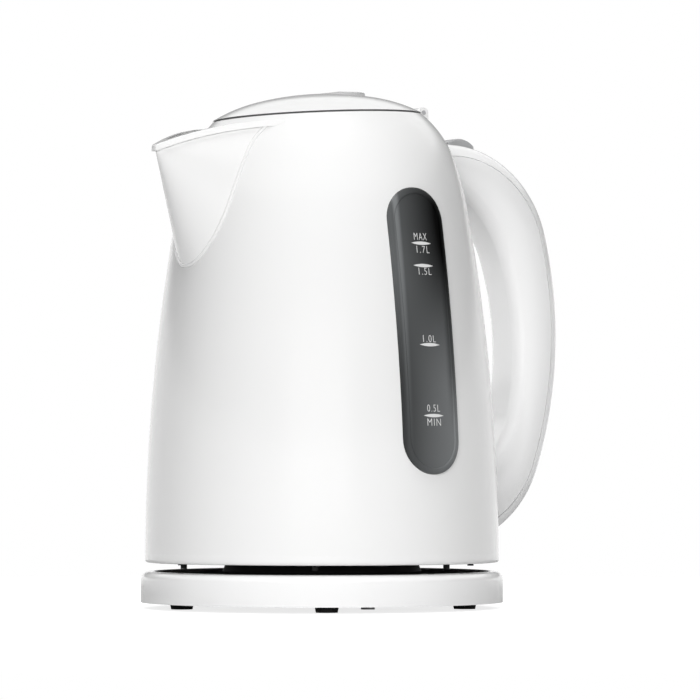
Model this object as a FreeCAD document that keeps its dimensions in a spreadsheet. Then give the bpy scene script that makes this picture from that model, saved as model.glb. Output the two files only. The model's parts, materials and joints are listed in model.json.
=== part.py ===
import FreeCAD, Part
import math
import os

import Sketcher

Vector = FreeCAD.Vector
Rotation = FreeCAD.Rotation

# Cordless electric kettle, 1.7 litres, on its round power base.
# Millimetres, +Z up. The origin is on the table, on the axis of the base.
# The spout points to -X, the handle to +X and the water window to -Y.

# Driving dimensions. Angles are in degrees.
SIZES = {
    # Feet of the base
    "foot_height": 2.6,
    "foot_radius": 5.2,
    "foot_taper": 0.5,
    "foot_inset": 15.0,
    "foot_turn": -119.5,
    # Power base
    "base_radius": 80.0,
    "base_height": 13.6,
    "base_edge": 3.5,
    "base_wall": 2.2,
    "plate_thickness": 2.0,
    "plate_gap": 0.2,
    "base_screw_inset": 28.0,
    "gland_height": 6.4,
    "gland_radius": 4.2,
    "gland_bore": 3.0,
    "gland_depth": 7.0,
    "gland_flange": 1.0,
    "gland_collar": 1.0,
    # Connector of the base
    "deck_radius": 44.0,
    "deck_height": 5.0,
    "deck_slope": 2.0,
    "tower_radius": 15.0,
    "tower_height": 12.0,
    "tower_edge": 1.0,
    "tower_bore": 4.2,
    "neck_depth": 5.0,
    "slot_inner": 8.0,
    "slot_outer": 11.4,
    "slot_depth": 9.0,
    "pin_radius": 1.6,
    "pin_drop": 2.2,
    "pin_flange": 6.5,
    "contact_thickness": 0.8,
    # Screws
    "screw_radius": 1.5,
    "screw_head": 3.0,
    "screw_head_height": 1.8,
    "screw_length": 7.0,
    "screw_boss": 4.0,
    "screw_slot": 0.8,
    # Jug shell
    "jug_radius": 78.2,
    "jug_edge": 1.2,
    "jug_wall": 2.5,
    "waist_inset": 13.8,
    "waist_height": 156.4,
    "shoulder_bend": 46.0,
    "rim_inset": 31.5,
    "shoulder_height": 39.8,
    "rim_slope": 42.9,
    "rim_extra": 6.0,
    "floor_height": 34.0,
    "ledge_thickness": 2.5,
    "ledge_inset": 21.2,
    # Spout
    "spout_throw": 20.6,
    "spout_drop": 15.1,
    "spout_nose": 1.2,
    "spout_length": 46.0,
    "spout_spread": 0.92,
    "spout_depth": 2.07,
    "spout_fall": 1.15,
    "spout_wall": 3.4,
    "lip_overhang": 2.4,
    "lip_thickness": 2.8,
    "lip_rise": 10.7,
    "lip_bend": 116.0,
    "filter_half_width": 25.0,
    "filter_drop": 55.5,
    "filter_rise": 6.2,
    "filter_border": 3.0,
    "filter_thickness": 2.0,
    "filter_gap": 0.2,
    "mesh_thickness": 0.4,
    # Water window
    "window_turn": 6.6,
    "window_width": 29.6,
    "window_foot": 4.6,
    "window_head": 5.8,
    "window_proud": 1.4,
    "window_gap": 0.1,
    "window_lip": 3.0,
    "window_seal": 0.8,
    "window_flange": 1.5,
    # Heater and jug floor
    "heater_lap": 4.0,
    "heater_seal": 1.0,
    "heater_thickness": 1.2,
    "spreader_inset": 5.0,
    "spreader_thickness": 3.0,
    "element_inset": 10.0,
    "element_radius": 3.6,
    "element_gap": 30.0,
    "element_pin": 2.2,
    "element_pin_length": 13.0,
    "cover_recess": 1.0,
    "cover_thickness": 2.0,
    "cover_gap": 0.3,
    "jug_screw_inset": 12.2,
    "jug_screw_turn": 21.0,
    "jug_foot_radius": 1.4,
    "jug_foot_stand": 2.2,
    "jug_foot_inset": 8.2,
    "jug_foot_back_turn": 13.3,
    "jug_foot_side_turn": 71.3,
    "jug_foot_front_turn": 123.7,
    # Control unit and its socket
    "control_radius": 27.0,
    "socket_gap": 0.6,
    "socket_head": 1.0,
    "socket_hole_gap": 1.4,
    "socket_tube": 2.4,
    "socket_ring": 9.6,
    "socket_wall": 1.0,
    "socket_drop": 7.5,
    "disc_radius": 7.0,
    "disc_thickness": 0.6,
    "disc_ring": 17.0,
    # Lid
    "lid_tilt": 2.85,
    "lid_gap": 0.8,
    "lid_rise": 10.3,
    "lid_flank": 18.7,
    "lid_crown_rise": 3.1,
    "lid_wall": 2.0,
    "lid_land": 6.0,
    "lid_skirt": 6.0,
    "lid_clearance": 1.0,
    "liner_wall": 2.0,
    "liner_floor": 1.8,
    "seal_inset": 0.8,
    "seal_width": 1.5,
    "grip_shift": 12.0,
    "grip_radius": 11.5,
    "grip_proud": 1.4,
    "grip_edge": 1.0,
    "lid_screw_inset": 3.0,
    "lid_boss": 3.2,
    "hinge_pin_radius": 1.1,
    "hinge_fit": 0.06,
    "knuckle_radius": 2.4,
    "knuckle_width": 16.0,
    "hinge_gap": 0.5,
    "lug_gap": 0.4,
    "lug_width": 3.6,
    "lug_depth": 10.0,
    # Handle
    "handle_stand": 42.6,
    "handle_mid": 102.1,
    "handle_back_bend": 179.0,
    "arch_drop": 21.7,
    "heel_rise": 57.6,
    "handle_top_bend": 53.0,
    "handle_low_bend": 50.6,
    "finger_room": 18.6,
    "grip_mid": 93.8,
    "grip_back_bend": 134.0,
    "web_drop": 38.6,
    "crook_rise": 75.0,
    "grip_top_bend": 57.6,
    "grip_low_bend": 34.3,
    "root_outer": 5.0,
    "root_inner": 10.0,
    "handle_width": 26.0,
    "handle_round": 8.0,
    "grip_round": 6.0,
    "handle_wall": 2.2,
    "cover_depth": 6.0,
    "seam_width": 0.6,
    "seam_depth": 1.4,
    "handle_screw_drop": 30.6,
    "handle_screw_length": 13.0,
    "post_web": 7.0,
    # Switch
    "switch_rise": 16.0,
    "switch_gap": 3.5,
    "switch_length": 20.0,
    "switch_width": 16.0,
    "switch_height": 6.5,
    "switch_seat": 0.6,
    "switch_disc": 3.1,
    "ear_width": 1.8,
    "ear_length": 5.0,
    "ear_height": 4.4,
    "lever_setback": 9.0,
    "lever_pivot_rise": 2.8,
    "lever_hub": 2.4,
    "lever_width": 11.0,
    "lever_front": 9.6,
    "lever_back": 4.0,
    "lever_proud": 3.6,
    "lever_crown": 11.0,
    "lever_round": 1.0,
    "lever_gap": 0.6,
    "lever_swing_gap": 2.6,
    "switch_pin_radius": 1.1,
    "duct_radius": 2.6,
    "duct_wall": 1.0,
    "duct_inset": 1.5,
    # Wires of the switch
    "wire_radius": 1.3,
    "wire_offset": 6.0,
    "wire_hole_gap": 0.5,
    "wire_start_rise": 2.3,
    "wire_inset": 4.7,
    "wire_knee_drop": 2.6,
    "wire_wall_height": 17.0,
    "wire_standoff": 2.8,
    "wire_bend": 13.0,
}

FOOT_COUNT = 5
SCREW_COUNT = 3

# Heights, radii and centres that follow from the driving dimensions.
PLACES = {
    "foot_ring": "size.base_radius - size.foot_inset",
    "base_screw_ring": "size.base_radius - size.base_screw_inset",
    "base_top": "size.foot_height + size.base_height",
    "plate_top": "size.foot_height + size.plate_thickness",
    "gland_z": "size.foot_height + size.gland_height",
    "deck_top": "base_top + size.deck_height",
    "tower_top": "deck_top + size.tower_height",
    "neck_low": "base_top - size.base_wall - size.neck_depth",
    "jug_bottom": "deck_top - size.cover_recess",
    "wall_foot": "jug_bottom + size.jug_edge",
    "waist_z": "jug_bottom + size.waist_height",
    "rim_z": "waist_z + size.shoulder_height",
    "waist_radius": "size.jug_radius - size.waist_inset",
    "rim_radius": "size.jug_radius - size.rim_inset",
    # The wall is one long arc, upright at the foot; the shoulder is two arcs that meet it smoothly.
    "wall_rise": "waist_z - wall_foot",
    "wall_bend": "(wall_rise ^ 2 + size.waist_inset ^ 2) / (2 * size.waist_inset)",
    "waist_angle": "2 * atan(size.waist_inset / wall_rise)",
    "crown_x": "rim_radius - size.shoulder_bend * sin(size.rim_slope * 1 deg)",
    "crown_z": "rim_z - size.shoulder_bend * cos(size.rim_slope * 1 deg)",
    "crown_dx": "waist_radius - crown_x",
    "crown_dz": "waist_z - crown_z",
    "side_bend": "(crown_dx ^ 2 + crown_dz ^ 2 - size.shoulder_bend ^ 2)"
                 " / (2 * (crown_dx * cos(waist_angle) + crown_dz * sin(waist_angle) - size.shoulder_bend))",
    "side_x": "waist_radius - side_bend * cos(waist_angle)",
    "side_z": "waist_z - side_bend * sin(waist_angle)",
    "shoulder_share": "side_bend / (side_bend - size.shoulder_bend)",
    "shoulder_radius": "side_x + shoulder_share * (crown_x - side_x)",
    "shoulder_z": "side_z + shoulder_share * (crown_z - side_z)",
    "top_radius": "rim_radius - size.rim_extra * cos(size.rim_slope * 1 deg)",
    "top_z": "rim_z + size.rim_extra * sin(size.rim_slope * 1 deg)",
    # Floor of the jug and the heater under it
    "ledge_top": "jug_bottom + size.floor_height",
    "ledge_radius": "size.jug_radius - size.ledge_inset",
    "heater_radius": "ledge_radius + size.heater_lap",
    "spreader_radius": "ledge_radius - size.spreader_inset",
    "element_ring": "spreader_radius - size.element_inset",
    "jug_screw_ring": "size.jug_radius - size.jug_screw_inset",
    "jug_foot_ring": "size.jug_radius - size.jug_foot_inset",
    "window_low": "ledge_top + size.window_foot",
    "window_high": "waist_z + size.window_head",
    "ledge_low": "ledge_top - size.ledge_thickness",
    "heater_top": "ledge_low - size.heater_seal",
    "heater_low": "heater_top - size.heater_thickness",
    "spreader_low": "heater_low - size.spreader_thickness",
    "element_z": "spreader_low - size.element_radius",
    "control_top": "spreader_low - size.disc_thickness",
    "cover_low": "jug_bottom + size.cover_recess",
    "cover_top": "cover_low + size.cover_thickness",
    "cover_radius": "size.jug_radius - size.jug_wall - size.cover_gap",
    "socket_radius": "size.tower_radius + size.socket_gap",
    "socket_top": "tower_top + size.socket_head",
    # Spout
    "spout_reach": "waist_radius + size.spout_throw",
    "spout_z": "rim_z - size.spout_drop",
    "filter_low": "spout_z - size.filter_drop",
    "filter_height": "size.filter_drop + size.filter_rise",
    # Lid plane, tilted down to the spout
    "lid_shift": "rim_radius * tan(size.lid_tilt * 1 deg) / tan(size.rim_slope * 1 deg)",
    "lid_z": "rim_z - lid_shift * tan(size.lid_tilt * 1 deg)",
    "lid_crown_radius": "rim_radius - size.lid_flank",
    "lid_screw_ring": "lid_crown_radius - size.lid_screw_inset",
    "lid_top": "size.lid_gap + size.lid_rise",
    "crown_low": "lid_top - size.lid_crown_rise",
    "crown_bend": "(lid_crown_radius ^ 2 + size.lid_crown_rise ^ 2) / (2 * size.lid_crown_rise)",
    "crown_angle": "2 * atan(size.lid_crown_rise / lid_crown_radius)",
    "flank_run": "rim_radius - lid_crown_radius",
    "flank_rise": "crown_low - size.lid_gap",
    "flank_bend": "sqrt(flank_run ^ 2 + flank_rise ^ 2)"
                  " / (2 * sin(atan(flank_rise / flank_run) - crown_angle))",
    "liner_radius": "rim_radius - size.jug_wall - size.lid_clearance",
    "hinge_rise": "size.knuckle_radius + size.hinge_gap",
    "hinge_u": "rim_radius + hinge_rise * sin(size.rim_slope * 1 deg)",
    "hinge_w": "hinge_rise * cos(size.rim_slope * 1 deg)",
    "hinge_x": "-lid_shift + hinge_u * cos(size.lid_tilt * 1 deg) - hinge_w * sin(size.lid_tilt * 1 deg)",
    "hinge_z": "lid_z + hinge_u * sin(size.lid_tilt * 1 deg) + hinge_w * cos(size.lid_tilt * 1 deg)",
    # Centres of the arcs of the handle: back, top and low on each side
    "handle_reach": "size.jug_radius + size.handle_stand",
    "back_x": "handle_reach - size.handle_back_bend",
    "back_z": "jug_bottom + size.handle_mid",
    "arch_z": "waist_z - size.arch_drop",
    "handle_top_turn": "asin((arch_z - back_z) / (size.handle_back_bend - size.handle_top_bend))",
    "arch_x": "back_x + (size.handle_back_bend - size.handle_top_bend) * cos(handle_top_turn)",
    "heel_z": "jug_bottom + size.heel_rise",
    "handle_low_turn": "asin((back_z - heel_z) / (size.handle_back_bend - size.handle_low_bend))",
    "heel_x": "back_x + (size.handle_back_bend - size.handle_low_bend) * cos(handle_low_turn)",
    "grip_reach": "size.jug_radius + size.finger_room",
    "palm_x": "grip_reach - size.grip_back_bend",
    "palm_z": "jug_bottom + size.grip_mid",
    "web_z": "waist_z - size.web_drop",
    "grip_top_turn": "asin((web_z - palm_z) / (size.grip_back_bend - size.grip_top_bend))",
    "web_x": "palm_x + (size.grip_back_bend - size.grip_top_bend) * cos(grip_top_turn)",
    "crook_z": "jug_bottom + size.crook_rise",
    "grip_low_turn": "asin((palm_z - crook_z) / (size.grip_back_bend - size.grip_low_bend))",
    "crook_x": "palm_x + (size.grip_back_bend - size.grip_low_bend) * cos(grip_low_turn)",
    "root_top_outer": "rim_radius + size.root_outer",
    "root_top_inner": "rim_radius + size.root_inner",
    "root_low": "waist_radius",
    "handle_screw_z": "heel_z - size.handle_screw_drop",
    # Switch in the top of the handle
    "switch_level": "waist_z + size.switch_rise",
    "switch_front": "side_x + sqrt(side_bend ^ 2 - (switch_level - side_z) ^ 2) + size.switch_gap",
    "lever_pivot": "switch_front + size.lever_setback",
    "switch_floor": "web_z + sqrt((size.grip_top_bend + size.handle_wall) ^ 2 - (switch_front - web_x) ^ 2)"
                    " + size.switch_seat",
    "switch_top": "switch_floor + size.switch_height",
    "pivot_z": "switch_top + size.lever_pivot_rise",
    "handle_top_z": "arch_z + sqrt(size.handle_top_bend ^ 2 - (lever_pivot - arch_x) ^ 2)",
    "duct_z": "switch_top - size.duct_radius",
    "wire_start": "switch_floor + size.wire_start_rise",
    "wire_wall_z": "jug_bottom + size.wire_wall_height",
    "wire_knee_z": "heel_z - size.wire_knee_drop",
    "wire_drop_x": "grip_reach + size.wire_inset",
    "wire_entry": "size.jug_radius + size.wire_standoff",
}

doc = FreeCAD.newDocument("kettle")
size = doc.addObject("Spreadsheet::Sheet", "size")
place = doc.addObject("Spreadsheet::Sheet", "place")


def fill_sheet(sheet, entries, lead):
    """Write one named cell per entry."""
    for row, (alias, content) in enumerate(entries.items(), start=1):
        sheet.set(f"A{row}", alias)
        sheet.set(f"B{row}", f"{lead}{content}")
        sheet.setAlias(f"B{row}", alias)
    doc.recompute()


fill_sheet(size, SIZES, "")
fill_sheet(place, PLACES, "=")


def value(expression):
    """The number that an expression on the sheets gives."""
    result = place.evalExpression(str(expression))
    return float(getattr(result, "Value", result))


def bind(item, expressions):
    """Tie properties of a document object to expressions."""
    for name, expression in expressions.items():
        item.setExpression(name, str(expression))


def set_place(item, at, rotation=Rotation()):
    """Put an object at a point given as three expressions."""
    item.Placement = FreeCAD.Placement(Vector(*[value(part) for part in at]), rotation)
    for axis, expression in zip("xyz", at):
        item.setExpression(f"Placement.Base.{axis}", str(expression))


ALONG_X = Rotation(Vector(0, 1, 0), 90)
ALONG_Y = Rotation(Vector(1, 0, 0), -90)
ALONG_Z = Rotation()
FACING_X = Rotation(Vector(0, 1, 0), -90)


def cylinder(name, radius, length, at, rotation=ALONG_Z):
    """A cylinder that starts at a point and runs along an axis."""
    item = doc.addObject("Part::Cylinder", name)
    bind(item, {"Radius": radius, "Height": length})
    set_place(item, at, rotation)
    return item


def cone(name, low_radius, high_radius, length, at):
    """An upright frustum."""
    item = doc.addObject("Part::Cone", name)
    bind(item, {"Radius1": low_radius, "Radius2": high_radius, "Height": length})
    set_place(item, at)
    return item


def box(name, length, width, height, at, rotation=ALONG_Z):
    """A box from its lowest corner."""
    item = doc.addObject("Part::Box", name)
    bind(item, {"Length": length, "Width": width, "Height": height})
    set_place(item, at, rotation)
    return item


def cut(name, base, tool):
    """One object less another."""
    item = doc.addObject("Part::Cut", name)
    item.Base = base
    item.Tool = tool
    return item


def common(name, base, tool):
    """What two objects share."""
    item = doc.addObject("Part::Common", name)
    item.Base = base
    item.Tool = tool
    return item


def fuse(name, pieces):
    """Several objects made one."""
    item = doc.addObject("Part::MultiFuse", name)
    item.Shapes = pieces
    return item


def group(name, pieces):
    """Separate solids that share one node."""
    item = doc.addObject("Part::Compound", name)
    item.Links = pieces
    return item


def arc_centre(start, end, radius, side):
    """Centre of the short arc from start to end; side is 1 where it lies to the left."""
    chord = end - start
    half = chord.Length / 2
    left = Vector(-chord.y, chord.x, 0).normalize()
    height = math.sqrt(max(radius ** 2 - half ** 2, 0))
    return (start + end) * 0.5 + left * (side * height)


def arc_between(start, end, radius, side):
    """Arc of a sketch from start to end, always stored anticlockwise."""
    centre = arc_centre(start, end, radius, side)
    first, last = (start, end) if side > 0 else (end, start)
    low = math.atan2(first.y - centre.y, first.x - centre.x)
    high = math.atan2(last.y - centre.y, last.x - centre.x)
    return Part.ArcOfCircle(Part.Circle(centre, Vector(0, 0, 1), radius), low, high)


def outline(body, name, role, corners, bends):
    """A closed sketch through corners, each a pair of expressions.

    bends gives, for the corner where an arc starts, its radius and the side of its centre.
    """
    sketch = body.newObject("Sketcher::SketchObject", name)
    plane = [item for item in body.Origin.OriginFeatures if item.Role == role][0]
    sketch.AttachmentSupport = [(plane, "")]
    sketch.MapMode = "FlatFace"
    points = [Vector(value(across), value(up), 0) for across, up in corners]
    count = len(points)
    ends = []
    for index in range(count):
        start = points[index]
        end = points[(index + 1) % count]
        if index in bends:
            radius, side = bends[index]
            sketch.addGeometry(arc_between(start, end, value(radius), side))
            ends.append((1, 2) if side > 0 else (2, 1))
        else:
            sketch.addGeometry(Part.LineSegment(start, end))
            ends.append((1, 2))
    for index in range(count):
        follower = (index + 1) % count
        sketch.addConstraint(
            Sketcher.Constraint("Coincident", index, ends[index][1], follower, ends[follower][0]))
    for index, (across, up) in enumerate(corners):
        for kind, expression, number in (("DistanceX", across, points[index].x),
                                         ("DistanceY", up, points[index].y)):
            datum = sketch.addConstraint(
                Sketcher.Constraint(kind, -1, 1, index, ends[index][0], number))
            sketch.renameConstraint(datum, f"{kind}_{index}")
            sketch.setExpression(f"Constraints.{kind}_{index}", str(expression))
    for index, (radius, side) in bends.items():
        datum = sketch.addConstraint(Sketcher.Constraint("Radius", index, value(radius)))
        sketch.renameConstraint(datum, f"Radius_{index}")
        sketch.setExpression(f"Constraints.Radius_{index}", str(radius))
    return sketch


def turned(name, corners, bends=None):
    """A body turned about its upright axis; corners are radius and height."""
    body = doc.addObject("PartDesign::Body", name)
    sketch = outline(body, f"{name}_profile", "XZ_Plane", corners, bends or {})
    turn = body.newObject("PartDesign::Revolution", f"{name}_turn")
    turn.Profile = sketch
    turn.ReferenceAxis = (sketch, ["V_Axis"])
    turn.Angle = 360
    return body


def padded(name, corners, bends, width):
    """A body with its outline in the plane of spout and handle, as wide to both sides."""
    body = doc.addObject("PartDesign::Body", name)
    sketch = outline(body, f"{name}_profile", "XZ_Plane", corners, bends)
    pad = body.newObject("PartDesign::Pad", f"{name}_pad")
    pad.Profile = sketch
    pad.Midplane = True
    bind(pad, {"Length": width})
    return body


def round_edges(body, name, radius, wanted):
    """Round the edges of a body that a test picks."""
    doc.recompute()
    base = body.Tip
    names = [f"Edge{number}" for number, edge in enumerate(base.Shape.Edges, start=1) if wanted(edge)]
    fillet = body.newObject("PartDesign::Fillet", name)
    fillet.Base = (base, names)
    bind(fillet, {"Radius": radius})
    return fillet


def turned_point(ring, turn, count, index):
    """Expressions for one place on a ring of equal steps."""
    angle = f"({turn} + {index} * 360 / {count}) * 1 deg"
    return f"{ring} * cos({angle})", f"{ring} * sin({angle})"


def screw(name, x, y, face):
    """A screw driven up into a boss, its slotted head under a face."""
    head = cylinder(f"{name}_head", "size.screw_head", "size.screw_head_height",
                    (x, y, f"{face} - size.screw_head_height"))
    shank = cylinder(f"{name}_shank", "size.screw_radius", "size.screw_length", (x, y, face))
    slot = box(f"{name}_slot", "2 * size.screw_head", "size.screw_slot", "size.screw_slot",
               (f"{x} - size.screw_head", f"{y} - size.screw_slot / 2", f"{face} - size.screw_head_height"))
    return cut(name, fuse(f"{name}_blank", [head, shank]), slot)


SUBPARTS = []


def subpart(item, label):
    """Name a finished piece."""
    item.Label = label
    SUBPARTS.append(item)
    return item


# Power base

SCREW_TURN = "size.jug_screw_turn"

base_screws = group("base_screws", [
    screw(f"base_screw_{index}",
          *turned_point("place.base_screw_ring", SCREW_TURN, SCREW_COUNT, index), "size.foot_height")
    for index in range(SCREW_COUNT)
])
subpart(base_screws, "base_screws")

gland_x = "size.base_radius - size.gland_depth"
gland_tube = cylinder("gland_tube", "size.gland_radius", "size.gland_depth", (gland_x, "0", "place.gland_z"),
                      ALONG_X)
gland_rim = cylinder("gland_rim", "size.gland_radius + size.gland_flange", "size.gland_collar",
                     ("size.base_radius", "0", "place.gland_z"), ALONG_X)
gland_way = cylinder("gland_way", "size.gland_bore", "size.gland_depth + size.gland_collar",
                     (gland_x, "0", "place.gland_z"), ALONG_X)
gland_solid = fuse("gland_solid", [gland_tube, gland_rim])
subpart(cut("cord_gland", gland_solid, gland_way), "cord_gland")

base_pan = turned("base_pan", [
    ("size.base_radius", "size.foot_height"),
    ("size.base_radius", "place.base_top - size.base_edge"),
    ("size.base_radius - size.base_edge", "place.base_top"),
    ("size.tower_radius", "place.base_top"),
    ("size.tower_radius", "place.base_top - size.base_wall"),
    ("size.base_radius - size.base_edge", "place.base_top - size.base_wall"),
    ("size.base_radius - size.base_wall", "place.base_top - size.base_edge"),
    ("size.base_radius - size.base_wall", "size.foot_height"),
], {1: ("size.base_edge", 1)})
base_bosses = [
    cylinder(f"base_boss_{index}", "size.screw_boss", "place.base_top - size.base_wall - place.plate_top",
             (*turned_point("place.base_screw_ring", SCREW_TURN, SCREW_COUNT, index), "place.plate_top"))
    for index in range(SCREW_COUNT)
]
base_blank = fuse("base_blank", [base_pan] + base_bosses)
base_drilled = cut("base_drilled", base_blank, base_screws)
subpart(cut("base_cover", base_drilled, gland_solid), "base_cover")

base_disc = cylinder("base_disc",
                     "size.base_radius - size.base_wall - size.plate_gap", "size.plate_thickness",
                     ("0", "0", "size.foot_height"))
subpart(cut("base_bottom_plate", base_disc, base_screws), "base_bottom_plate")

subpart(group("base_feet", [
    cone(f"base_foot_{index}", "size.foot_radius - size.foot_taper", "size.foot_radius", "size.foot_height",
         (*turned_point("place.foot_ring", "size.foot_turn", FOOT_COUNT, index), "0"))
    for index in range(FOOT_COUNT)
]), "base_feet")

subpart(turned("base_connector", [
    ("size.tower_bore", "place.neck_low"),
    ("size.tower_radius", "place.neck_low"),
    ("size.tower_radius", "place.base_top"),
    ("size.deck_radius", "place.base_top"),
    ("size.deck_radius - size.deck_slope", "place.deck_top"),
    ("size.tower_radius", "place.deck_top"),
    ("size.tower_radius", "place.tower_top - size.tower_edge"),
    ("size.tower_radius - size.tower_edge", "place.tower_top"),
    ("size.slot_outer", "place.tower_top"),
    ("size.slot_outer", "place.tower_top - size.slot_depth"),
    ("size.slot_inner", "place.tower_top - size.slot_depth"),
    ("size.slot_inner", "place.tower_top"),
    ("size.tower_bore", "place.tower_top"),
], {6: ("size.tower_edge", 1)}), "base_connector")

subpart(turned("base_live_pin", [
    ("0", "place.neck_low - size.contact_thickness"),
    ("size.pin_flange", "place.neck_low - size.contact_thickness"),
    ("size.pin_flange", "place.neck_low"),
    ("size.pin_radius", "place.neck_low"),
    ("size.pin_radius", "place.tower_top - size.pin_drop"),
    ("0", "place.tower_top - size.pin_drop"),
]), "base_live_pin")

subpart(turned("base_contact_ring", [
    ("size.slot_inner", "place.tower_top - size.slot_depth"),
    ("size.slot_inner + size.contact_thickness", "place.tower_top - size.slot_depth"),
    ("size.slot_inner + size.contact_thickness", "place.tower_top - size.pin_drop"),
    ("size.slot_inner", "place.tower_top - size.pin_drop"),
]), "base_contact_ring")


# Forms of the jug

def jug_form(name, inset):
    """The turned form of the jug, filled, with its side moved in by an inset."""
    return turned(name, [
        ("0", "place.jug_bottom"),
        (f"size.jug_radius - size.jug_edge - ({inset})", "place.jug_bottom"),
        (f"size.jug_radius - ({inset})", "place.wall_foot"),
        (f"place.waist_radius - ({inset})", "place.waist_z"),
        (f"place.shoulder_radius - ({inset})", "place.shoulder_z"),
        (f"place.rim_radius - ({inset})", "place.rim_z"),
        (f"place.top_radius - ({inset})", "place.top_z"),
        ("0", "place.top_z"),
    ], {1: ("size.jug_edge", 1), 2: ("place.wall_bend", 1), 3: ("place.side_bend", 1),
        4: ("size.shoulder_bend", 1)})


def stadium(name, grow):
    """An upright long hole through the wall at the window, wider all round by a growth."""
    body = doc.addObject("PartDesign::Body", name)
    half = f"(size.window_width / 2 + ({grow}))"
    low = f"(place.window_low - ({grow}))"
    high = f"(place.window_high + ({grow}))"
    sketch = outline(body, f"{name}_profile", "XZ_Plane", [
        (half, f"{low} + {half}"),
        (half, f"{high} - {half}"),
        ("0", high),
        (f"-{half}", f"{high} - {half}"),
        (f"-{half}", f"{low} + {half}"),
        ("0", low),
    ], {1: (half, 1), 2: (half, 1), 4: (half, 1), 5: (half, 1)})
    pad = body.newObject("PartDesign::Pad", f"{name}_pad")
    pad.Profile = sketch
    bind(pad, {"Length": "size.jug_radius + 10 * size.window_proud"})
    body.Placement = FreeCAD.Placement(Vector(), Rotation(Vector(0, 0, 1), value("size.window_turn")))
    bind(body, {"Placement.Rotation.Angle": "size.window_turn"})
    return body


def wall_radius(z):
    """Outer radius of the long wall of the jug at a height."""
    return f"(size.jug_radius - place.wall_bend + sqrt(place.wall_bend ^ 2 - ({z} - place.wall_foot) ^ 2))"


def side_radius(z):
    """Outer radius of the jug at a height between waist and shoulder."""
    return f"(place.side_x + sqrt(place.side_bend ^ 2 - ({z} - place.side_z) ^ 2))"


REACH = "(3 * size.jug_radius)"

jug_outer = jug_form("jug_outer", "0")
jug_inner = jug_form("jug_inner", "size.jug_wall")

# Spout: an elliptic cone with its tip at the lip, cut off along a bowed line that climbs to the lid


def spout_cone(name, shift, nose):
    """The cone of the spout, its tip moved along +X by a shift and cut blunt."""
    rings = []
    for number, along in enumerate((nose, f"(size.spout_length - ({shift}))")):
        ring = doc.addObject("Part::Ellipse", f"{name}_ring_{number}")
        bind(ring, {
            "MajorRadius": f"size.spout_depth * {along}",
            "MinorRadius": f"size.spout_spread * {along}",
        })
        set_place(ring, (f"-place.spout_reach + ({shift}) + {along}", "0",
                         f"place.spout_z - size.spout_fall * {along}"), FACING_X)
        rings.append(ring)
    loft = doc.addObject("Part::Loft", name)
    loft.Sections = rings
    loft.Solid = True
    loft.Ruled = True
    return loft


FRONT = "(-2 * place.spout_reach)"
ROOT = "(-place.spout_reach + size.spout_length)"


def lip_edge(drop):
    """Corners of the bowed line of the lip from the tip to the lid, lowered by a drop."""
    tip_z = f"place.spout_z - ({drop})"
    root_z = f"place.spout_z + size.lip_rise - ({drop})"
    return [(FRONT, tip_z), ("-place.spout_reach", tip_z), (ROOT, root_z), ("0", root_z)]


above_lip = padded("above_lip", lip_edge("0") + [
    ("0", f"place.spout_z + {REACH}"),
    (FRONT, f"place.spout_z + {REACH}"),
], {1: ("size.lip_bend", -1)}, REACH)
lip_slab = padded("lip_slab", lip_edge("size.lip_thickness") + lip_edge("0")[::-1],
                  {1: ("size.lip_bend", -1), 5: ("size.lip_bend", 1)}, REACH)
spout_flank = cut("spout_flank", spout_cone("flank_cone", "0", "size.spout_nose"), above_lip)
spout_lip = common("spout_lip", spout_cone("lip_cone", "-size.lip_overhang", "size.lip_overhang"), lip_slab)
spout_way = cut("spout_way", spout_cone("way_cone", "size.spout_wall", "size.spout_nose / 2"), above_lip)
spout_outside = cut("spout_outside", fuse("spout_blank", [spout_flank, spout_lip]), jug_outer)
subpart(cut("spout", spout_outside, spout_way), "spout")

# Hinge lugs, the pin between them and the plane of the lid

LUG_NEAR_Y = "-size.knuckle_width / 2 - size.lug_gap - size.lug_width"
LUG_FAR_Y = "size.knuckle_width / 2 + size.lug_gap"

subpart(cylinder("hinge_pin", "size.hinge_pin_radius",
                 "size.knuckle_width + 2 * size.lug_gap + 2 * size.lug_width",
                 ("place.hinge_x", LUG_NEAR_Y, "place.hinge_z"), ALONG_Y), "hinge_pin")


def hinge_lug(name, low_y):
    """One lug for the hinge pin, with its foot in the wall."""
    eye = cylinder(f"{name}_eye", "size.knuckle_radius", "size.lug_width",
                   ("place.hinge_x", low_y, "place.hinge_z"), ALONG_Y)
    foot = box(f"{name}_foot", "2 * size.knuckle_radius", "size.lug_width", "size.lug_depth",
               ("place.hinge_x - size.knuckle_radius", low_y, "place.hinge_z - size.lug_depth"))
    blank = fuse(f"{name}_blank", [eye, foot])
    return cut(name, cut(f"{name}_trimmed", blank, jug_inner), doc.getObject("hinge_pin"))


def lid_line(x):
    """Height of the plane of the lid at an X."""
    return f"(place.rim_z + ({x}) * tan(size.lid_tilt * 1 deg))"


above_lid = padded("above_lid", [
    (f"-{REACH}", lid_line(f"-{REACH}")),
    (REACH, lid_line(REACH)),
    (REACH, f"place.rim_z + {REACH}"),
    (f"-{REACH}", f"place.rim_z + {REACH}"),
], {}, REACH)
lugs = [
    hinge_lug("lug_near", LUG_NEAR_Y),
    hinge_lug("lug_far", LUG_FAR_Y),
]

# Jug shell, and the ledge inside it that holds the heater and the bosses of the bottom cover

jug_cover_screws = group("jug_cover_screws", [
    screw(f"jug_screw_{index}",
          *turned_point("place.jug_screw_ring", SCREW_TURN, SCREW_COUNT, index), "place.cover_low")
    for index in range(SCREW_COUNT)
])
subpart(jug_cover_screws, "jug_cover_screws")

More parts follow.
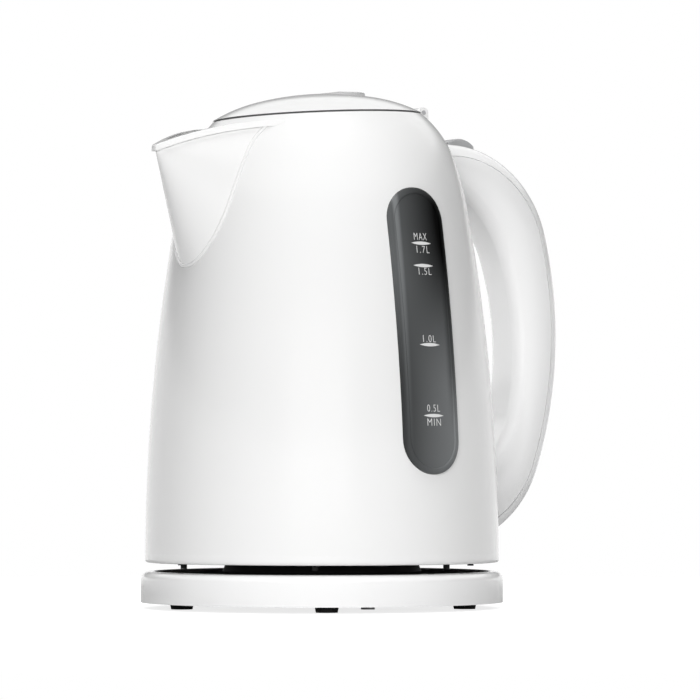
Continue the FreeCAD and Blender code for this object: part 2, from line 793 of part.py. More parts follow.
handle_screw_wall = f"({wall_radius('place.handle_screw_z')} - size.jug_wall)"
handle_screw_face = f"(sqrt({handle_screw_wall} ^ 2 - size.screw_head ^ 2))"
handle_screw = fuse("handle_screw", [
    cylinder("handle_screw_head", "size.screw_head", "size.screw_head_height",
             (f"{handle_screw_face} - size.screw_head_height", "0", "place.handle_screw_z"), ALONG_X),
    cylinder("handle_screw_shank", "size.screw_radius", "size.handle_screw_length",
             (handle_screw_face, "0", "place.handle_screw_z"), ALONG_X),
])
subpart(handle_screw, "handle_screw")

ledge_spot = ("0", "0", "place.ledge_low")
ledge_disc = cylinder("ledge_disc", "size.jug_radius", "size.ledge_thickness", ledge_spot)
ledge_hole = cylinder("ledge_hole", "place.ledge_radius", "size.ledge_thickness", ledge_spot)
ledge_ring = common("ledge_ring", cut("ledge_band", ledge_disc, ledge_hole), jug_inner)
jug_bosses = [
    cylinder(f"jug_boss_{index}", "size.screw_boss", "place.ledge_low - place.cover_top",
             (*turned_point("place.jug_screw_ring", SCREW_TURN, SCREW_COUNT, index), "place.cover_top"))
    for index in range(SCREW_COUNT)
]
subpart(cut("heater_ledge", fuse("ledge_blank", [ledge_ring] + jug_bosses), jug_cover_screws), "heater_ledge")

steam_way = cylinder("steam_way", "size.duct_radius", "size.jug_radius",
                     ("place.crown_x", "0", "place.duct_z"), ALONG_X)
wire_ways = [
    cylinder(f"wire_way_{number}", "size.wire_radius + size.wire_hole_gap", "size.jug_radius",
             ("place.ledge_radius", y, "place.wire_wall_z"), ALONG_X)
    for number, y in enumerate(("-size.wire_offset", "size.wire_offset"))
]
shell_holes = [spout_way, above_lid, stadium("window_hole", "0"), steam_way, *wire_ways, handle_screw]
shell_open = cut("jug_wall", jug_outer, jug_inner)
for number, hole in enumerate(shell_holes):
    shell_open = cut(f"shell_cut_{number}", shell_open, hole)
subpart(fuse("jug_shell", [shell_open] + lugs), "jug_shell")

# Spout filter: a curved frame behind the opening of the spout, with a thin mesh in it


def jug_band(name, outer_inset, inner_inset):
    """A skin of the jug form between two insets."""
    return cut(name, jug_form(f"{name}_outer", outer_inset), jug_form(f"{name}_inner", inner_inset))


filter_behind = "size.jug_wall + size.filter_gap"
filter_band = jug_band("filter_band", filter_behind, f"{filter_behind} + size.filter_thickness")
filter_x = "-size.jug_radius"
filter_z = "place.filter_low"
filter_height = "place.filter_height"
filter_block = box("filter_block", "size.jug_radius", "2 * size.filter_half_width", filter_height,
                   (filter_x, "-size.filter_half_width", filter_z))
pane_width = "(size.filter_half_width - 1.5 * size.filter_border)"
pane_height = f"(({filter_height} - 3 * size.filter_border) / 2)"
filter_panes = [
    box(f"filter_pane_{column}_{row}", "size.jug_radius", pane_width, pane_height,
        (filter_x,
         f"-size.filter_half_width + size.filter_border + {column} * ({pane_width} + size.filter_border)",
         f"{filter_z} + size.filter_border + {row} * ({pane_height} + size.filter_border)"))
    for column in range(2)
    for row in range(2)
]
filter_panes = group("filter_panes", filter_panes)
filter_solid = common("filter_solid", filter_band, filter_block)
subpart(cut("spout_filter_frame", filter_solid, filter_panes), "spout_filter_frame")

mesh_behind = f"{filter_behind} + (size.filter_thickness - size.mesh_thickness) / 2"
mesh_band = jug_band("mesh_band", mesh_behind, f"{mesh_behind} + size.mesh_thickness")
subpart(common("spout_filter_mesh", mesh_band, filter_panes), "spout_filter_mesh")

# Water window: a pane that fills the long hole, with a flange behind the wall and a seal between

seal_back = "size.jug_wall + size.window_seal"
flange_back = f"{seal_back} + size.window_flange"
window_plug = common("window_plug", jug_band("window_skin", "-size.window_proud", flange_back),
                     stadium("window_core", "-size.window_gap"))
window_flange = common("window_flange", jug_band("flange_skin", seal_back, flange_back),
                       stadium("flange_core", "size.window_lip"))
subpart(fuse("water_window", [window_plug, window_flange]), "water_window")
seal_band = jug_band("seal_band", "size.jug_wall + size.window_gap", seal_back)
seal_skin = common("seal_skin", seal_band, doc.getObject("flange_core"))
subpart(cut("window_seal", seal_skin, doc.getObject("window_hole")), "window_seal")

# Heater under the floor of the jug


def ring(name, inner, outer, low, high):
    """A flat ring or sleeve."""
    return turned(name, [(inner, low), (outer, low), (outer, high), (inner, high)])


subpart(ring("heater_seal",
             "place.ledge_radius", "place.heater_radius", "place.heater_top", "place.ledge_low"),
        "heater_seal")
subpart(cylinder("heater_plate",
                 "place.heater_radius", "size.heater_thickness", ("0", "0", "place.heater_low")),
        "heater_plate")
subpart(cylinder("heat_spreader", "place.spreader_radius", "size.spreader_thickness",
                 ("0", "0", "place.spreader_low")), "heat_spreader")

element_loop = doc.addObject("Part::Torus", "element_loop")
bind(element_loop, {"Radius1": "place.element_ring", "Radius2": "size.element_radius",
                    "Angle3": "360 - size.element_gap"})
set_place(element_loop, ("0", "0", "place.element_z"),
          Rotation(Vector(0, 0, 1), value("180 + size.element_gap / 2")))
bind(element_loop, {"Placement.Rotation.Angle": "180 + size.element_gap / 2"})
element_pins = [
    cylinder(f"element_pin_{number}", "size.element_pin", "size.element_pin_length",
             (f"place.element_ring * cos(({turn}) * 1 deg)", f"place.element_ring * sin(({turn}) * 1 deg)",
              "place.element_z - size.element_pin_length"))
    for number, turn in enumerate(("180 + size.element_gap / 2", "180 - size.element_gap / 2"))
]
subpart(fuse("heating_element", [element_loop] + element_pins), "heating_element")

# Control unit over the tower of the base, and the contacts in its socket

subpart(turned("control_unit", [
    ("place.socket_radius", "place.cover_top"),
    ("size.control_radius", "place.cover_top"),
    ("size.control_radius", "place.control_top"),
    ("0", "place.control_top"),
    ("0", "place.socket_top"),
    ("place.socket_radius", "place.socket_top"),
]), "control_unit")
subpart(group("dry_boil_discs", [
    cylinder(f"dry_boil_disc_{number}", "size.disc_radius", "size.disc_thickness",
             ("0", y, "place.control_top"))
    for number, y in enumerate(("-size.disc_ring", "size.disc_ring"))
]), "dry_boil_discs")
contact_low = "place.tower_top - size.socket_drop"
subpart(group("socket_contacts", [
    ring(f"contact_{name}", radius, f"{radius} + size.socket_wall", contact_low, "place.socket_top")
    for name, radius in (("tube", "size.socket_tube"), ("ring", "size.socket_ring"))
]), "socket_contacts")

# Bottom of the jug

cover_disc = ring("cover_disc", "place.socket_radius + size.socket_hole_gap", "place.cover_radius",
                  "place.cover_low", "place.cover_top")
subpart(cut("jug_bottom_cover", cover_disc, jug_cover_screws), "jug_bottom_cover")
jug_foot_turns = ["180"]
for spot in ("back", "side", "front"):
    jug_foot_turns += [f"size.jug_foot_{spot}_turn", f"-size.jug_foot_{spot}_turn"]
subpart(group("jug_feet", [
    cylinder(f"jug_foot_{number}", "size.jug_foot_radius", "size.cover_recess + size.jug_foot_stand",
             (f"place.jug_foot_ring * cos(({turn}) * 1 deg)", f"place.jug_foot_ring * sin(({turn}) * 1 deg)",
              "place.jug_bottom - size.jug_foot_stand"))
    for number, turn in enumerate(jug_foot_turns)
]), "jug_feet")

# Handle: an arch of three arcs outside and three inside, hollow, in two halves


def outer_arch(inset, overrun):
    """Corners of the back of the handle from the lid down, moved in by an inset."""
    top = f"(size.handle_top_bend - ({inset}))"
    low = f"(size.handle_low_bend - ({inset}))"
    start = f"(place.root_top_outer - ({overrun}))"
    end = f"(place.root_low - ({overrun}))"
    return [
        (start, f"place.arch_z + sqrt({top} ^ 2 - ({start} - place.arch_x) ^ 2)"),
        (f"place.arch_x + {top} * cos(place.handle_top_turn)",
         f"place.arch_z + {top} * sin(place.handle_top_turn)"),
        (f"place.heel_x + {low} * cos(place.handle_low_turn)",
         f"place.heel_z - {low} * sin(place.handle_low_turn)"),
        (end, f"place.heel_z - sqrt({low} ^ 2 - ({end} - place.heel_x) ^ 2)"),
    ]


def outer_bends(inset):
    """Radii of the three arcs of the back of the handle."""
    bends = ("handle_top_bend", "handle_back_bend", "handle_low_bend")
    return [f"(size.{name} - ({inset}))" for name in bends]


def inner_arch(inset, overrun):
    """Corners of the finger side of the handle from the foot up, moved in by an inset."""
    top = f"(size.grip_top_bend + ({inset}))"
    low = f"(size.grip_low_bend + ({inset}))"
    start = f"(place.root_low - ({overrun}))"
    end = f"(place.root_top_inner - ({overrun}))"
    return [
        (start, f"place.crook_z - sqrt({low} ^ 2 - ({start} - place.crook_x) ^ 2)"),
        (f"place.crook_x + {low} * cos(place.grip_low_turn)",
         f"place.crook_z - {low} * sin(place.grip_low_turn)"),
        (f"place.web_x + {top} * cos(place.grip_top_turn)",
         f"place.web_z + {top} * sin(place.grip_top_turn)"),
        (end, f"place.web_z + sqrt({top} ^ 2 - ({end} - place.web_x) ^ 2)"),
    ]


def inner_bends(inset):
    """Radii of the three arcs of the finger side."""
    return [f"(size.{name} + ({inset}))" for name in ("grip_low_bend", "grip_back_bend", "grip_top_bend")]


def has_radius(radii):
    """A test for edges that are arcs of given radii."""
    wanted = [value(radius) for radius in radii]

    def test(edge):
        if not isinstance(edge.Curve, Part.Circle):
            return False
        return any(abs(edge.Curve.Radius - radius) < 0.000001 for radius in wanted)

    return test


def handle_form(name, inset, overrun):
    """The arch of the handle, filled and rounded, smaller all round by an inset."""
    corners = outer_arch(inset, overrun) + inner_arch(inset, overrun)
    bends = {number: (radius, -1) for number, radius in enumerate(outer_bends(inset))}
    bends.update({number + 4: (radius, 1) for number, radius in enumerate(inner_bends(inset))})
    body = padded(name, corners, bends, f"size.handle_width - 2 * ({inset})")
    round_edges(body, f"{name}_back_round", f"size.handle_round - ({inset})", has_radius(outer_bends(inset)))
    round_edges(body, f"{name}_grip_round", f"size.grip_round - ({inset})", has_radius(inner_bends(inset)))
    return body


def back_band(name, near, far, width):
    """A band along the back of the handle between two insets."""
    near_corners = outer_arch(near, "0")
    far_corners = outer_arch(far, "0")[::-1]
    bends = {number: (radius, -1) for number, radius in enumerate(outer_bends(near))}
    bends.update({number + 4: (radius, 1) for number, radius in enumerate(outer_bends(far)[::-1])})
    return padded(name, near_corners + far_corners, bends, width)


screw_post = cylinder("screw_post", "size.screw_boss", "size.handle_screw_length",
                      (handle_screw_wall, "0", "place.handle_screw_z"), ALONG_X)
screw_web = box("screw_web", "size.post_web", "size.handle_width - size.handle_wall", "size.jug_wall",
                (handle_screw_wall, "-size.handle_width / 2 + size.handle_wall / 2",
                 "place.handle_screw_z - size.jug_wall / 2"))
screw_mount = fuse("screw_mount", [screw_post, screw_web])
handle_solid = cut("handle_solid", handle_form("handle_outside", "0", "0"), jug_outer)
handle_space = cut("handle_space", handle_form("handle_inside", "size.handle_wall", "1"), screw_mount)
handle_hollow = cut("handle_hollow", handle_solid, handle_space)

seam_near = "size.cover_depth - size.seam_width / 2"
seam_far = "size.cover_depth + size.seam_width / 2"
seam = cut("seam",
           back_band("seam_wide", seam_near, seam_far, "2 * size.handle_width"),
           back_band("seam_core", seam_near, seam_far, "size.handle_width - 2 * size.seam_depth"))
lever_slot = box("lever_slot",
                 "size.lever_front + size.lever_swing_gap + size.lever_back + size.lever_gap",
                 "size.lever_width + 2 * size.lever_gap", "size.handle_width",
                 ("place.lever_pivot - size.lever_front - size.lever_swing_gap",
                  "-size.lever_width / 2 - size.lever_gap", "place.switch_top"))
steam_pipe = cylinder("steam_pipe", "size.duct_radius", "place.switch_front - place.crown_x",
                      ("place.crown_x", "0", "place.duct_z"), ALONG_X)
handle_shell = handle_hollow
for number, tool in enumerate((seam, lever_slot, steam_pipe)):
    handle_shell = cut(f"handle_cut_{number}", handle_shell, tool)
cover_band = back_band("cover_band", "-size.cover_depth", "size.cover_depth", "2 * size.handle_width")
subpart(common("handle_cover", handle_shell, cover_band), "handle_cover")

subpart(cut("handle_grip", cut("grip_half", handle_shell, cover_band), handle_screw), "handle_grip")

# Steam switch in the top of the handle, worked by the lever on its pin

pin_length = "size.switch_width"
switch_pin = cylinder("switch_pin", "size.switch_pin_radius", pin_length,
                      ("place.lever_pivot", "-size.switch_width / 2", "place.pivot_z"), ALONG_Y)
subpart(switch_pin, "switch_pin")
switch_box = box("switch_box", "size.switch_length", "size.switch_width", "size.switch_height",
                 ("place.switch_front", "-size.switch_width / 2", "place.switch_floor"))
switch_ears = [
    box(f"switch_ear_{number}", "size.ear_length", "size.ear_width", "size.ear_height",
        ("place.lever_pivot - size.ear_length / 2", y, "place.switch_top"))
    for number, y in enumerate(("-size.switch_width / 2", "size.switch_width / 2 - size.ear_width"))
]
subpart(cut("steam_switch", fuse("switch_blank", [switch_box] + switch_ears), switch_pin), "steam_switch")
subpart(cylinder("steam_disc", "size.switch_disc", "size.disc_thickness",
                 ("place.switch_front - size.disc_thickness", "0",
                  "place.switch_floor + size.switch_height / 2"),
                 ALONG_X), "steam_disc")

duct_start = f"{side_radius('place.duct_z')} - size.jug_wall - size.duct_inset"
duct_length = f"place.switch_front - 2 * size.disc_thickness - ({duct_start})"
duct_rod = cylinder("duct_rod", "size.duct_radius", duct_length, (duct_start, "0", "place.duct_z"), ALONG_X)
duct_bore = cylinder("duct_bore", "size.duct_radius - size.duct_wall", duct_length,
                     (duct_start, "0", "place.duct_z"), ALONG_X)
subpart(cut("steam_duct", duct_rod, duct_bore), "steam_duct")

lever_low = "place.handle_top_z - size.handle_wall"
lever_x = "place.lever_pivot"
lever_pad = padded("lever_pad", [
    (f"{lever_x} - size.lever_front", lever_low),
    (f"{lever_x} - size.lever_front", "place.handle_top_z + size.lever_proud / 2"),
    (f"{lever_x} + size.lever_back", "place.handle_top_z + size.lever_proud / 4"),
    (f"{lever_x} + size.lever_back", lever_low),
    (f"{lever_x} + size.lever_hub", lever_low),
    (f"{lever_x} + size.lever_hub", "place.pivot_z"),
    (f"{lever_x} - size.lever_hub", "place.pivot_z"),
    (f"{lever_x} - size.lever_hub", lever_low),
], {1: ("size.lever_crown", -1)}, "size.lever_width")
round_edges(lever_pad, "lever_round", "size.lever_round", has_radius(["size.lever_crown"]))
hub_width = "size.lever_width"
lever_hub = cylinder("lever_hub", "size.lever_hub", hub_width,
                     (lever_x, "-size.lever_width / 2", "place.pivot_z"), ALONG_Y)
lever_bore = cylinder("lever_bore", "size.switch_pin_radius + size.hinge_fit", hub_width,
                      (lever_x, "-size.lever_width / 2", "place.pivot_z"), ALONG_Y)
subpart(cut("switch_lever", fuse("lever_blank", [lever_pad, lever_hub]), lever_bore), "switch_lever")

# Wires from the switch down the handle to the control unit


def lead_path(points, bend):
    """Straight runs through points, joined by tangent arcs."""
    edges = []
    start = points[0]
    for before, corner, after in zip(points, points[1:], points[2:]):
        inward = (before - corner).normalize()
        outward = (after - corner).normalize()
        half = inward.getAngle(outward) / 2
        tangent = bend / math.tan(half)
        first = corner + inward * tangent
        last = corner + outward * tangent
        axis = (inward + outward).normalize()
        middle = corner + axis * (bend / math.sin(half) - bend)
        edges.append(Part.makeLine(start, first))
        edges.append(Part.Arc(first, middle, last).toShape())
        start = last
    edges.append(Part.makeLine(start, points[-1]))
    return Part.Wire(edges)


def lead(name, y):
    """One insulated wire in a plane beside the middle of the handle."""
    radius = value("size.wire_radius")
    bend = value("size.wire_bend")
    stations = [
        ("place.switch_front + size.switch_length", "place.wire_start"),
        ("place.wire_drop_x", "place.wire_start"),
        ("place.wire_drop_x", "place.wire_knee_z"),
        ("place.wire_entry", "place.wire_wall_z"),
        ("sqrt(size.control_radius ^ 2 - (size.wire_offset - size.wire_radius) ^ 2)", "place.wire_wall_z"),
    ]
    points = [Vector(value(x), value(y), value(z)) for x, z in stations]
    path = lead_path(points, bend)
    circle = Part.Wire(Part.makeCircle(radius, points[0], Vector(1, 0, 0)))
    item = doc.addObject("Part::Feature", name)
    item.Shape = path.makePipeShell([circle], True, False)
    expected = math.pi * radius ** 2 * path.Length
    print(f"{name}: bend {bend} mm, volume {item.Shape.Volume:.2f}, section x length {expected:.2f}")
    return item


doc.recompute()
subpart(group("switch_wires", [
    lead("wire_near", "-size.wire_offset"),
    lead("wire_far", "size.wire_offset"),
]), "switch_wires")

# Lid, drawn level about its own axis and then set on the tilted plane of the rim


def set_on_rim(item):
    """Carry a piece of the lid from its own frame to the rim."""
    item.Placement = FreeCAD.Placement(Vector(), Rotation(Vector(0, -1, 0), value("size.lid_tilt")))
    bind(item, {"Placement.Base.x": "-place.lid_shift", "Placement.Base.z": "place.lid_z",
                "Placement.Rotation.Angle": "size.lid_tilt"})
    return item


lid_form = turned("lid_form", [
    ("0", "size.lid_gap"),
    ("place.rim_radius", "size.lid_gap"),
    ("place.lid_crown_radius", "place.crown_low"),
    ("0", "place.lid_top"),
], {1: ("place.flank_bend", 1), 2: ("place.crown_bend", 1)})
lid_hollow = turned("lid_hollow", [
    ("0", "size.lid_gap"),
    ("place.rim_radius - size.lid_land", "size.lid_gap"),
    ("place.lid_crown_radius", "place.crown_low - size.lid_wall"),
    ("0", "place.lid_top - size.lid_wall"),
], {2: ("place.crown_bend", 1)})
lid_screws = group("lid_screw_set", [
    screw(f"lid_screw_{number}", "0", y, "-size.lid_skirt")
    for number, y in enumerate(("-place.lid_screw_ring", "place.lid_screw_ring"))
])
lid_bosses = [
    cylinder(f"lid_boss_{number}", "size.lid_boss", "size.lid_skirt - size.liner_floor + place.crown_low",
             ("0", y, "size.liner_floor - size.lid_skirt"))
    for number, y in enumerate(("-place.lid_screw_ring", "place.lid_screw_ring"))
]
knuckle = cylinder("knuckle", "size.knuckle_radius", "size.knuckle_width",
                   ("place.hinge_u", "-size.knuckle_width / 2", "place.hinge_w"), ALONG_Y)
knuckle_bore = cylinder("knuckle_bore", "size.hinge_pin_radius + size.hinge_fit", "size.knuckle_width",
                        ("place.hinge_u", "-size.knuckle_width / 2", "place.hinge_w"), ALONG_Y)
knuckle_web = box("knuckle_web", "place.hinge_u - place.rim_radius + size.lid_land / 2",
                  "size.knuckle_width", "size.lid_wall",
                  ("place.rim_radius - size.lid_land / 2", "-size.knuckle_width / 2", "size.lid_gap"))
lid_dome = cut("lid_dome", lid_form, lid_hollow)
lid_blank = fuse("lid_blank", [lid_dome, knuckle, knuckle_web] + lid_bosses)
lid_drilled = cut("lid_drilled", lid_blank, lid_screws)
subpart(set_on_rim(cut("lid_cover", lid_drilled, knuckle_bore)), "lid_cover")

liner_inside = "place.liner_radius - size.liner_wall"
liner_cup = turned("liner_cup", [
    ("0", "-size.lid_skirt"),
    ("place.liner_radius", "-size.lid_skirt"),
    ("place.liner_radius", "size.lid_gap"),
    (liner_inside, "size.lid_gap"),
    (liner_inside, "size.liner_floor - size.lid_skirt"),
    ("0", "size.liner_floor - size.lid_skirt"),
])
subpart(set_on_rim(cut("lid_liner", liner_cup, lid_screws)), "lid_liner")
subpart(set_on_rim(ring("lid_seal", "place.rim_radius - size.seal_inset - size.seal_width",
                        "place.rim_radius - size.seal_inset", "0", "size.lid_gap")), "lid_seal")

grip_top = "place.lid_top + size.grip_proud"
grip_button = turned("grip_button", [
    ("0", "size.lid_gap"),
    ("size.grip_radius", "size.lid_gap"),
    ("size.grip_radius", f"{grip_top} - 2 * size.grip_edge"),
    ("size.grip_radius - size.grip_edge", f"{grip_top} - size.grip_edge"),
    ("0", grip_top),
], {2: ("size.grip_edge", 1)})
grip_button.Placement.Base.x = value("size.grip_shift")
bind(grip_button, {"Placement.Base.x": "size.grip_shift"})
subpart(set_on_rim(cut("lid_grip", grip_button, lid_form)), "lid_grip")
lid_fasteners = group("lid_fasteners", [lid_screws])
subpart(set_on_rim(lid_fasteners), "lid_screws")

# Check every object, then write one file for each named piece

doc.recompute()
for item in doc.Objects:
    faults = [state for state in item.State if state in ("Invalid", "Error")]
    if faults:
        raise RuntimeError(f"{item.Name}: {faults}")

os.makedirs("parts", exist_ok=True)
for item in SUBPARTS:
    shape = item.Shape
    if shape.isNull() or not shape.isValid() or not shape.Solids:
        raise RuntimeError(f"{item.Label}: shape is not valid")
    shape.exportStep(f"parts/{item.Label}.step")
    print(f"{item.Label}: {len(shape.Solids)} solids, volume {shape.Volume:.1f}")
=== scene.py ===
# %% [markdown]
# # A white electric kettle on its power base
# The solid pieces of this kettle were drawn in millimetres and packed as a frame with its joints.
# Blender adds what the solids lack: finishes, printed level marks, fine edges, light and a camera.
# The frame is loaded first, because every later piece takes its place from it.

# %% Load the frame
import json
import math

import bpy
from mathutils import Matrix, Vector


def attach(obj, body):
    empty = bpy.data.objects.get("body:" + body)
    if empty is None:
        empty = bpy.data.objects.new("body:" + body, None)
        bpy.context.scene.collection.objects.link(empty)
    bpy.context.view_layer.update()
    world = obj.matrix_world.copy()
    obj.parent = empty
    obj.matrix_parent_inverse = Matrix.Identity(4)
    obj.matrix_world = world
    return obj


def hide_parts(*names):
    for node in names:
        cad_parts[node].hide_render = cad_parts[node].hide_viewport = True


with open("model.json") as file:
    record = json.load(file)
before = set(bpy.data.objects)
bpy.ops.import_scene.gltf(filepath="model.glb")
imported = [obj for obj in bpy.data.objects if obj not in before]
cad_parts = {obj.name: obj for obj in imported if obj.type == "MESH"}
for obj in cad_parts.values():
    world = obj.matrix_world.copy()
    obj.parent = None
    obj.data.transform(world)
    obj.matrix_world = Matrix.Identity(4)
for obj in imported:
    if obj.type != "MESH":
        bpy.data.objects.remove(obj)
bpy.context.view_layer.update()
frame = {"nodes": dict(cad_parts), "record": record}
nodes = frame["nodes"]
MM = 0.001

# %% [markdown]
# ## The outline of the jug
# The jug is a turned form: a long, slightly bowed wall, then a side arc and a shoulder arc that
# meet it smoothly. A piece that lies on the jug needs its radius at any height.
# The three arcs are worked out here once, so that trims follow the wall without any fitting.

# %% Radius of the jug at a height
FOOT_Z, FOOT_RADIUS = 21.4 * MM, 78.2 * MM
WAIST_Z, WAIST_RADIUS = 176.6 * MM, 64.4 * MM
RIM_Z, RIM_RADIUS, RIM_SLOPE = 216.4 * MM, 46.7 * MM, math.radians(42.9)
SHOULDER_BEND = 46.0 * MM

wall_rise, wall_inset = WAIST_Z - FOOT_Z, FOOT_RADIUS - WAIST_RADIUS
wall_bend = (wall_rise ** 2 + wall_inset ** 2) / (2 * wall_inset)
waist = Vector((WAIST_RADIUS, WAIST_Z))
waist_angle = 2 * math.atan(wall_inset / wall_rise)
waist_normal = Vector((math.cos(waist_angle), math.sin(waist_angle)))
shoulder = Vector((RIM_RADIUS - SHOULDER_BEND * math.sin(RIM_SLOPE),
                   RIM_Z - SHOULDER_BEND * math.cos(RIM_SLOPE)))
to_waist = waist - shoulder
side_bend = ((to_waist.length_squared - SHOULDER_BEND ** 2)
             / (2 * (to_waist.dot(waist_normal) - SHOULDER_BEND)))
side = waist - side_bend * waist_normal
shoulder_z = (side + (shoulder - side) * side_bend / (side_bend - SHOULDER_BEND)).y


def jug_radius(z):
    """Outer radius of the jug at a height, in metres."""
    if z < WAIST_Z:
        return FOOT_RADIUS - wall_bend + math.sqrt(wall_bend ** 2 - (z - FOOT_Z) ** 2)
    centre, bend = (side, side_bend) if z < shoulder_z else (shoulder, SHOULDER_BEND)
    return centre.x + math.sqrt(bend ** 2 - (z - centre.y) ** 2)


print("jug radius in mm:", {z: round(jug_radius(z * MM) / MM, 2) for z in (60, 120, 180)})

# %% [markdown]
# ## Writing materials as arithmetic
# A material in Blender is a graph of nodes, and long graphs are hard to read as code.
# A small wrapper around a socket lets Python's own operators add the Math nodes.
# A formula then reads as a formula, whichever side of the sign the plain number is on.

# %% A socket that does arithmetic
class Signal:
    """An output socket that Python's operators can work with."""

    def __init__(self, finish, socket):
        self.finish = finish
        self.socket = socket

    def math(self, operation, first, second):
        return self.finish.node("ShaderNodeMath", {"operation": operation}, {0: first, 1: second})

    def __add__(self, other):
        return self.math("ADD", self, other)

    def __radd__(self, other):
        return self.math("ADD", other, self)

    def __sub__(self, other):
        return self.math("SUBTRACT", self, other)

    def __rsub__(self, other):
        return self.math("SUBTRACT", other, self)

    def __mul__(self, other):
        return self.math("MULTIPLY", self, other)

    def __rmul__(self, other):
        return self.math("MULTIPLY", other, self)

    def __or__(self, other):
        return self.math("MAXIMUM", self, other)

    def __ror__(self, other):
        return self.math("MAXIMUM", other, self)


print("signals can add, subtract, multiply and take the larger")

# %% [markdown]
# ## One class for every material
# A real finish is a body colour with small changes of tone, gloss and skin, and each is a node.
# Blender's own calls are long: a node is made, then its settings and its sockets are set in turn.
# One method does that for any node, and short methods name the few that come up often.

# %% A material and the one method that adds its nodes
class Finish:
    """A material, or the world, with its node graph."""

    def __init__(self, owner):
        self.owner = owner
        owner.use_nodes = True
        self.tree = owner.node_tree
        self.tree.nodes.clear()

    def node(self, kind, settings=None, sockets=None, output=0):
        """Any node, with its settings made first, because they can change its sockets."""
        made = self.tree.nodes.new(kind)
        for name, value in (settings or {}).items():
            setattr(made, name, value)
        for name, value in (sockets or {}).items():
            if isinstance(value, Signal):
                self.tree.links.new(value.socket, made.inputs[name])
            else:
                made.inputs[name].default_value = value
        return Signal(self, made.outputs[output]) if made.outputs else None

    def blend(self, factor, first, second):
        """A colour between two colours."""
        return self.node("ShaderNodeMix", {"data_type": "RGBA"},
                         {0: factor, 6: first, 7: second}, output=2)

    def where(self):
        """Position on the piece, in metres."""
        return self.node("ShaderNodeTexCoord", output=3)

    def axis(self, vector, number):
        """One number of a vector: 0, 1 or 2 for x, y or z."""
        return self.node("ShaderNodeSeparateXYZ", {}, {0: vector}, output=number)

    def stretched(self, vector, factors):
        """A vector with each axis multiplied by its own factor."""
        return self.node("ShaderNodeVectorMath", {"operation": "MULTIPLY"}, {0: vector, 1: factors})

    def reach(self, vector):
        """The length of a vector."""
        return self.node("ShaderNodeVectorMath", {"operation": "LENGTH"}, {0: vector}, output=1)

    def grain(self, where, scale, detail=2.0):
        """Soft random specks, from 0 to 1."""
        return self.node("ShaderNodeTexNoise", {},
                         {"Vector": where, "Scale": scale, "Detail": detail})

    def ease(self, value, start, end):
        """A smooth step from 0 at the start to 1 at the end."""
        return self.node("ShaderNodeMapRange", {"interpolation_type": "SMOOTHSTEP"},
                         {"Value": value, "From Min": start, "From Max": end})

    def bump(self, height, strength, depth):
        """A surface normal that follows a height."""
        return self.node("ShaderNodeBump", {},
                         {"Height": height, "Strength": strength, "Distance": depth})

    def ray(self, kind):
        """1 for rays of one kind, and 0 for the others."""
        return self.node("ShaderNodeLightPath", output=kind)

    def principled(self, sockets):
        """One shaded surface."""
        return self.node("ShaderNodeBsdfPrincipled", {}, sockets)

    def close(self, shader):
        """The end of the graph."""
        self.node("ShaderNodeOutputMaterial", {}, {"Surface": shader})
        return self.owner


def grey(level):
    """A neutral colour."""
    return (level, level, level, 1.0)


CAMERA_RAY, MIRROR_RAY, CLEAR_RAY = 0, 3, 6
print("materials are written as arithmetic from here on")

# %% [markdown]
# ## Moulded plastics
# The shell, handle, lid and base of the real kettle are glossy white moulded plastic, and the
# hidden parts are matt. Even a smooth moulding isn't one flat colour: its tone drifts slightly,
# its gloss is uneven and its skin is pebbled.
# Three layers of noise at different sizes give all of that, and one function serves every plastic.

# %% Plastic finishes
TONE_SCALE, GLOSS_SCALE, SKIN_SCALE = 16.0, 70.0, 1500.0
SKIN_DEPTH, COAT_ROUGHNESS = 0.05 * MM, 0.06
PLASTIC_LEAST, ROUGH_SPREAD = 0.85, 0.3


def plastic(name, pale, deep, rough, pebble, coat=0.0):
    """A moulded plastic whose tone, gloss and skin vary a little."""
    finish = Finish(bpy.data.materials.new(name))
    where = finish.where()
    gloss = finish.grain(where, GLOSS_SCALE)
    skin = finish.grain(where, SKIN_SCALE, 1.0)
    return finish.close(finish.principled({
        "Base Color": finish.blend(finish.grain(where, TONE_SCALE), deep, pale),
        "Roughness": rough * PLASTIC_LEAST + gloss * (rough * ROUGH_SPREAD),
        "Normal": finish.bump(skin, pebble, SKIN_DEPTH),
        "Coat Weight": coat,
        "Coat Roughness": COAT_ROUGHNESS,
    }))


# Each slot has a name, a pale and a deep tone, a roughness, a pebble and, if glossy, a coat.
PLASTICS = {
    "white_gloss": ("gloss white plastic", (0.89, 0.89, 0.885, 1), grey(0.865), 0.22, 0.05, 0.8),
    # Painted light: the handle is the same white plastic as the jug, made brighter.
    "handle_white_painted_light": ("handle white plastic, painted lighter", grey(0.96), grey(0.945), 0.22, 0.05, 0.8),
    "white_matte": ("plain white plastic", grey(0.82), grey(0.78), 0.5, 0.25),
    "grip_grey": ("lid grip plastic", grey(0.50), grey(0.45), 0.22, 0.05, 0.3),
    "lever_grey": ("switch lever plastic",
                   (0.40, 0.405, 0.41, 1), (0.35, 0.355, 0.36, 1), 0.22, 0.06, 0.3),
    "black_plastic": ("black plastic", grey(0.02), grey(0.012), 0.5, 0.3),
    "wire_cover": ("wire insulation",
                   (0.34, 0.03, 0.02, 1), (0.28, 0.022, 0.016, 1), 0.42, 0.1),
}
finishes = {slot: plastic(*recipe) for slot, recipe in PLASTICS.items()}
print("plastics:", ", ".join(finishes))

# %% [markdown]
# ## Rubbers and metals
# The feet are black rubber and the seals are silicone, so both are dull, with a coarser skin than
# the plastics. Sheet steel is drawn through rollers, which leaves fine lines in one direction.
# Noise that is stretched along one axis makes those lines, and with little or no stretching it
# makes turned brass and cast aluminium.

# %% Rubber and metal finishes
LINE_SCALE, CLOUD_SCALE = 1000.0, 40.0
LINE_BUMP, LINE_DEPTH, METAL_LEAST = 0.12, 0.03 * MM, 0.95


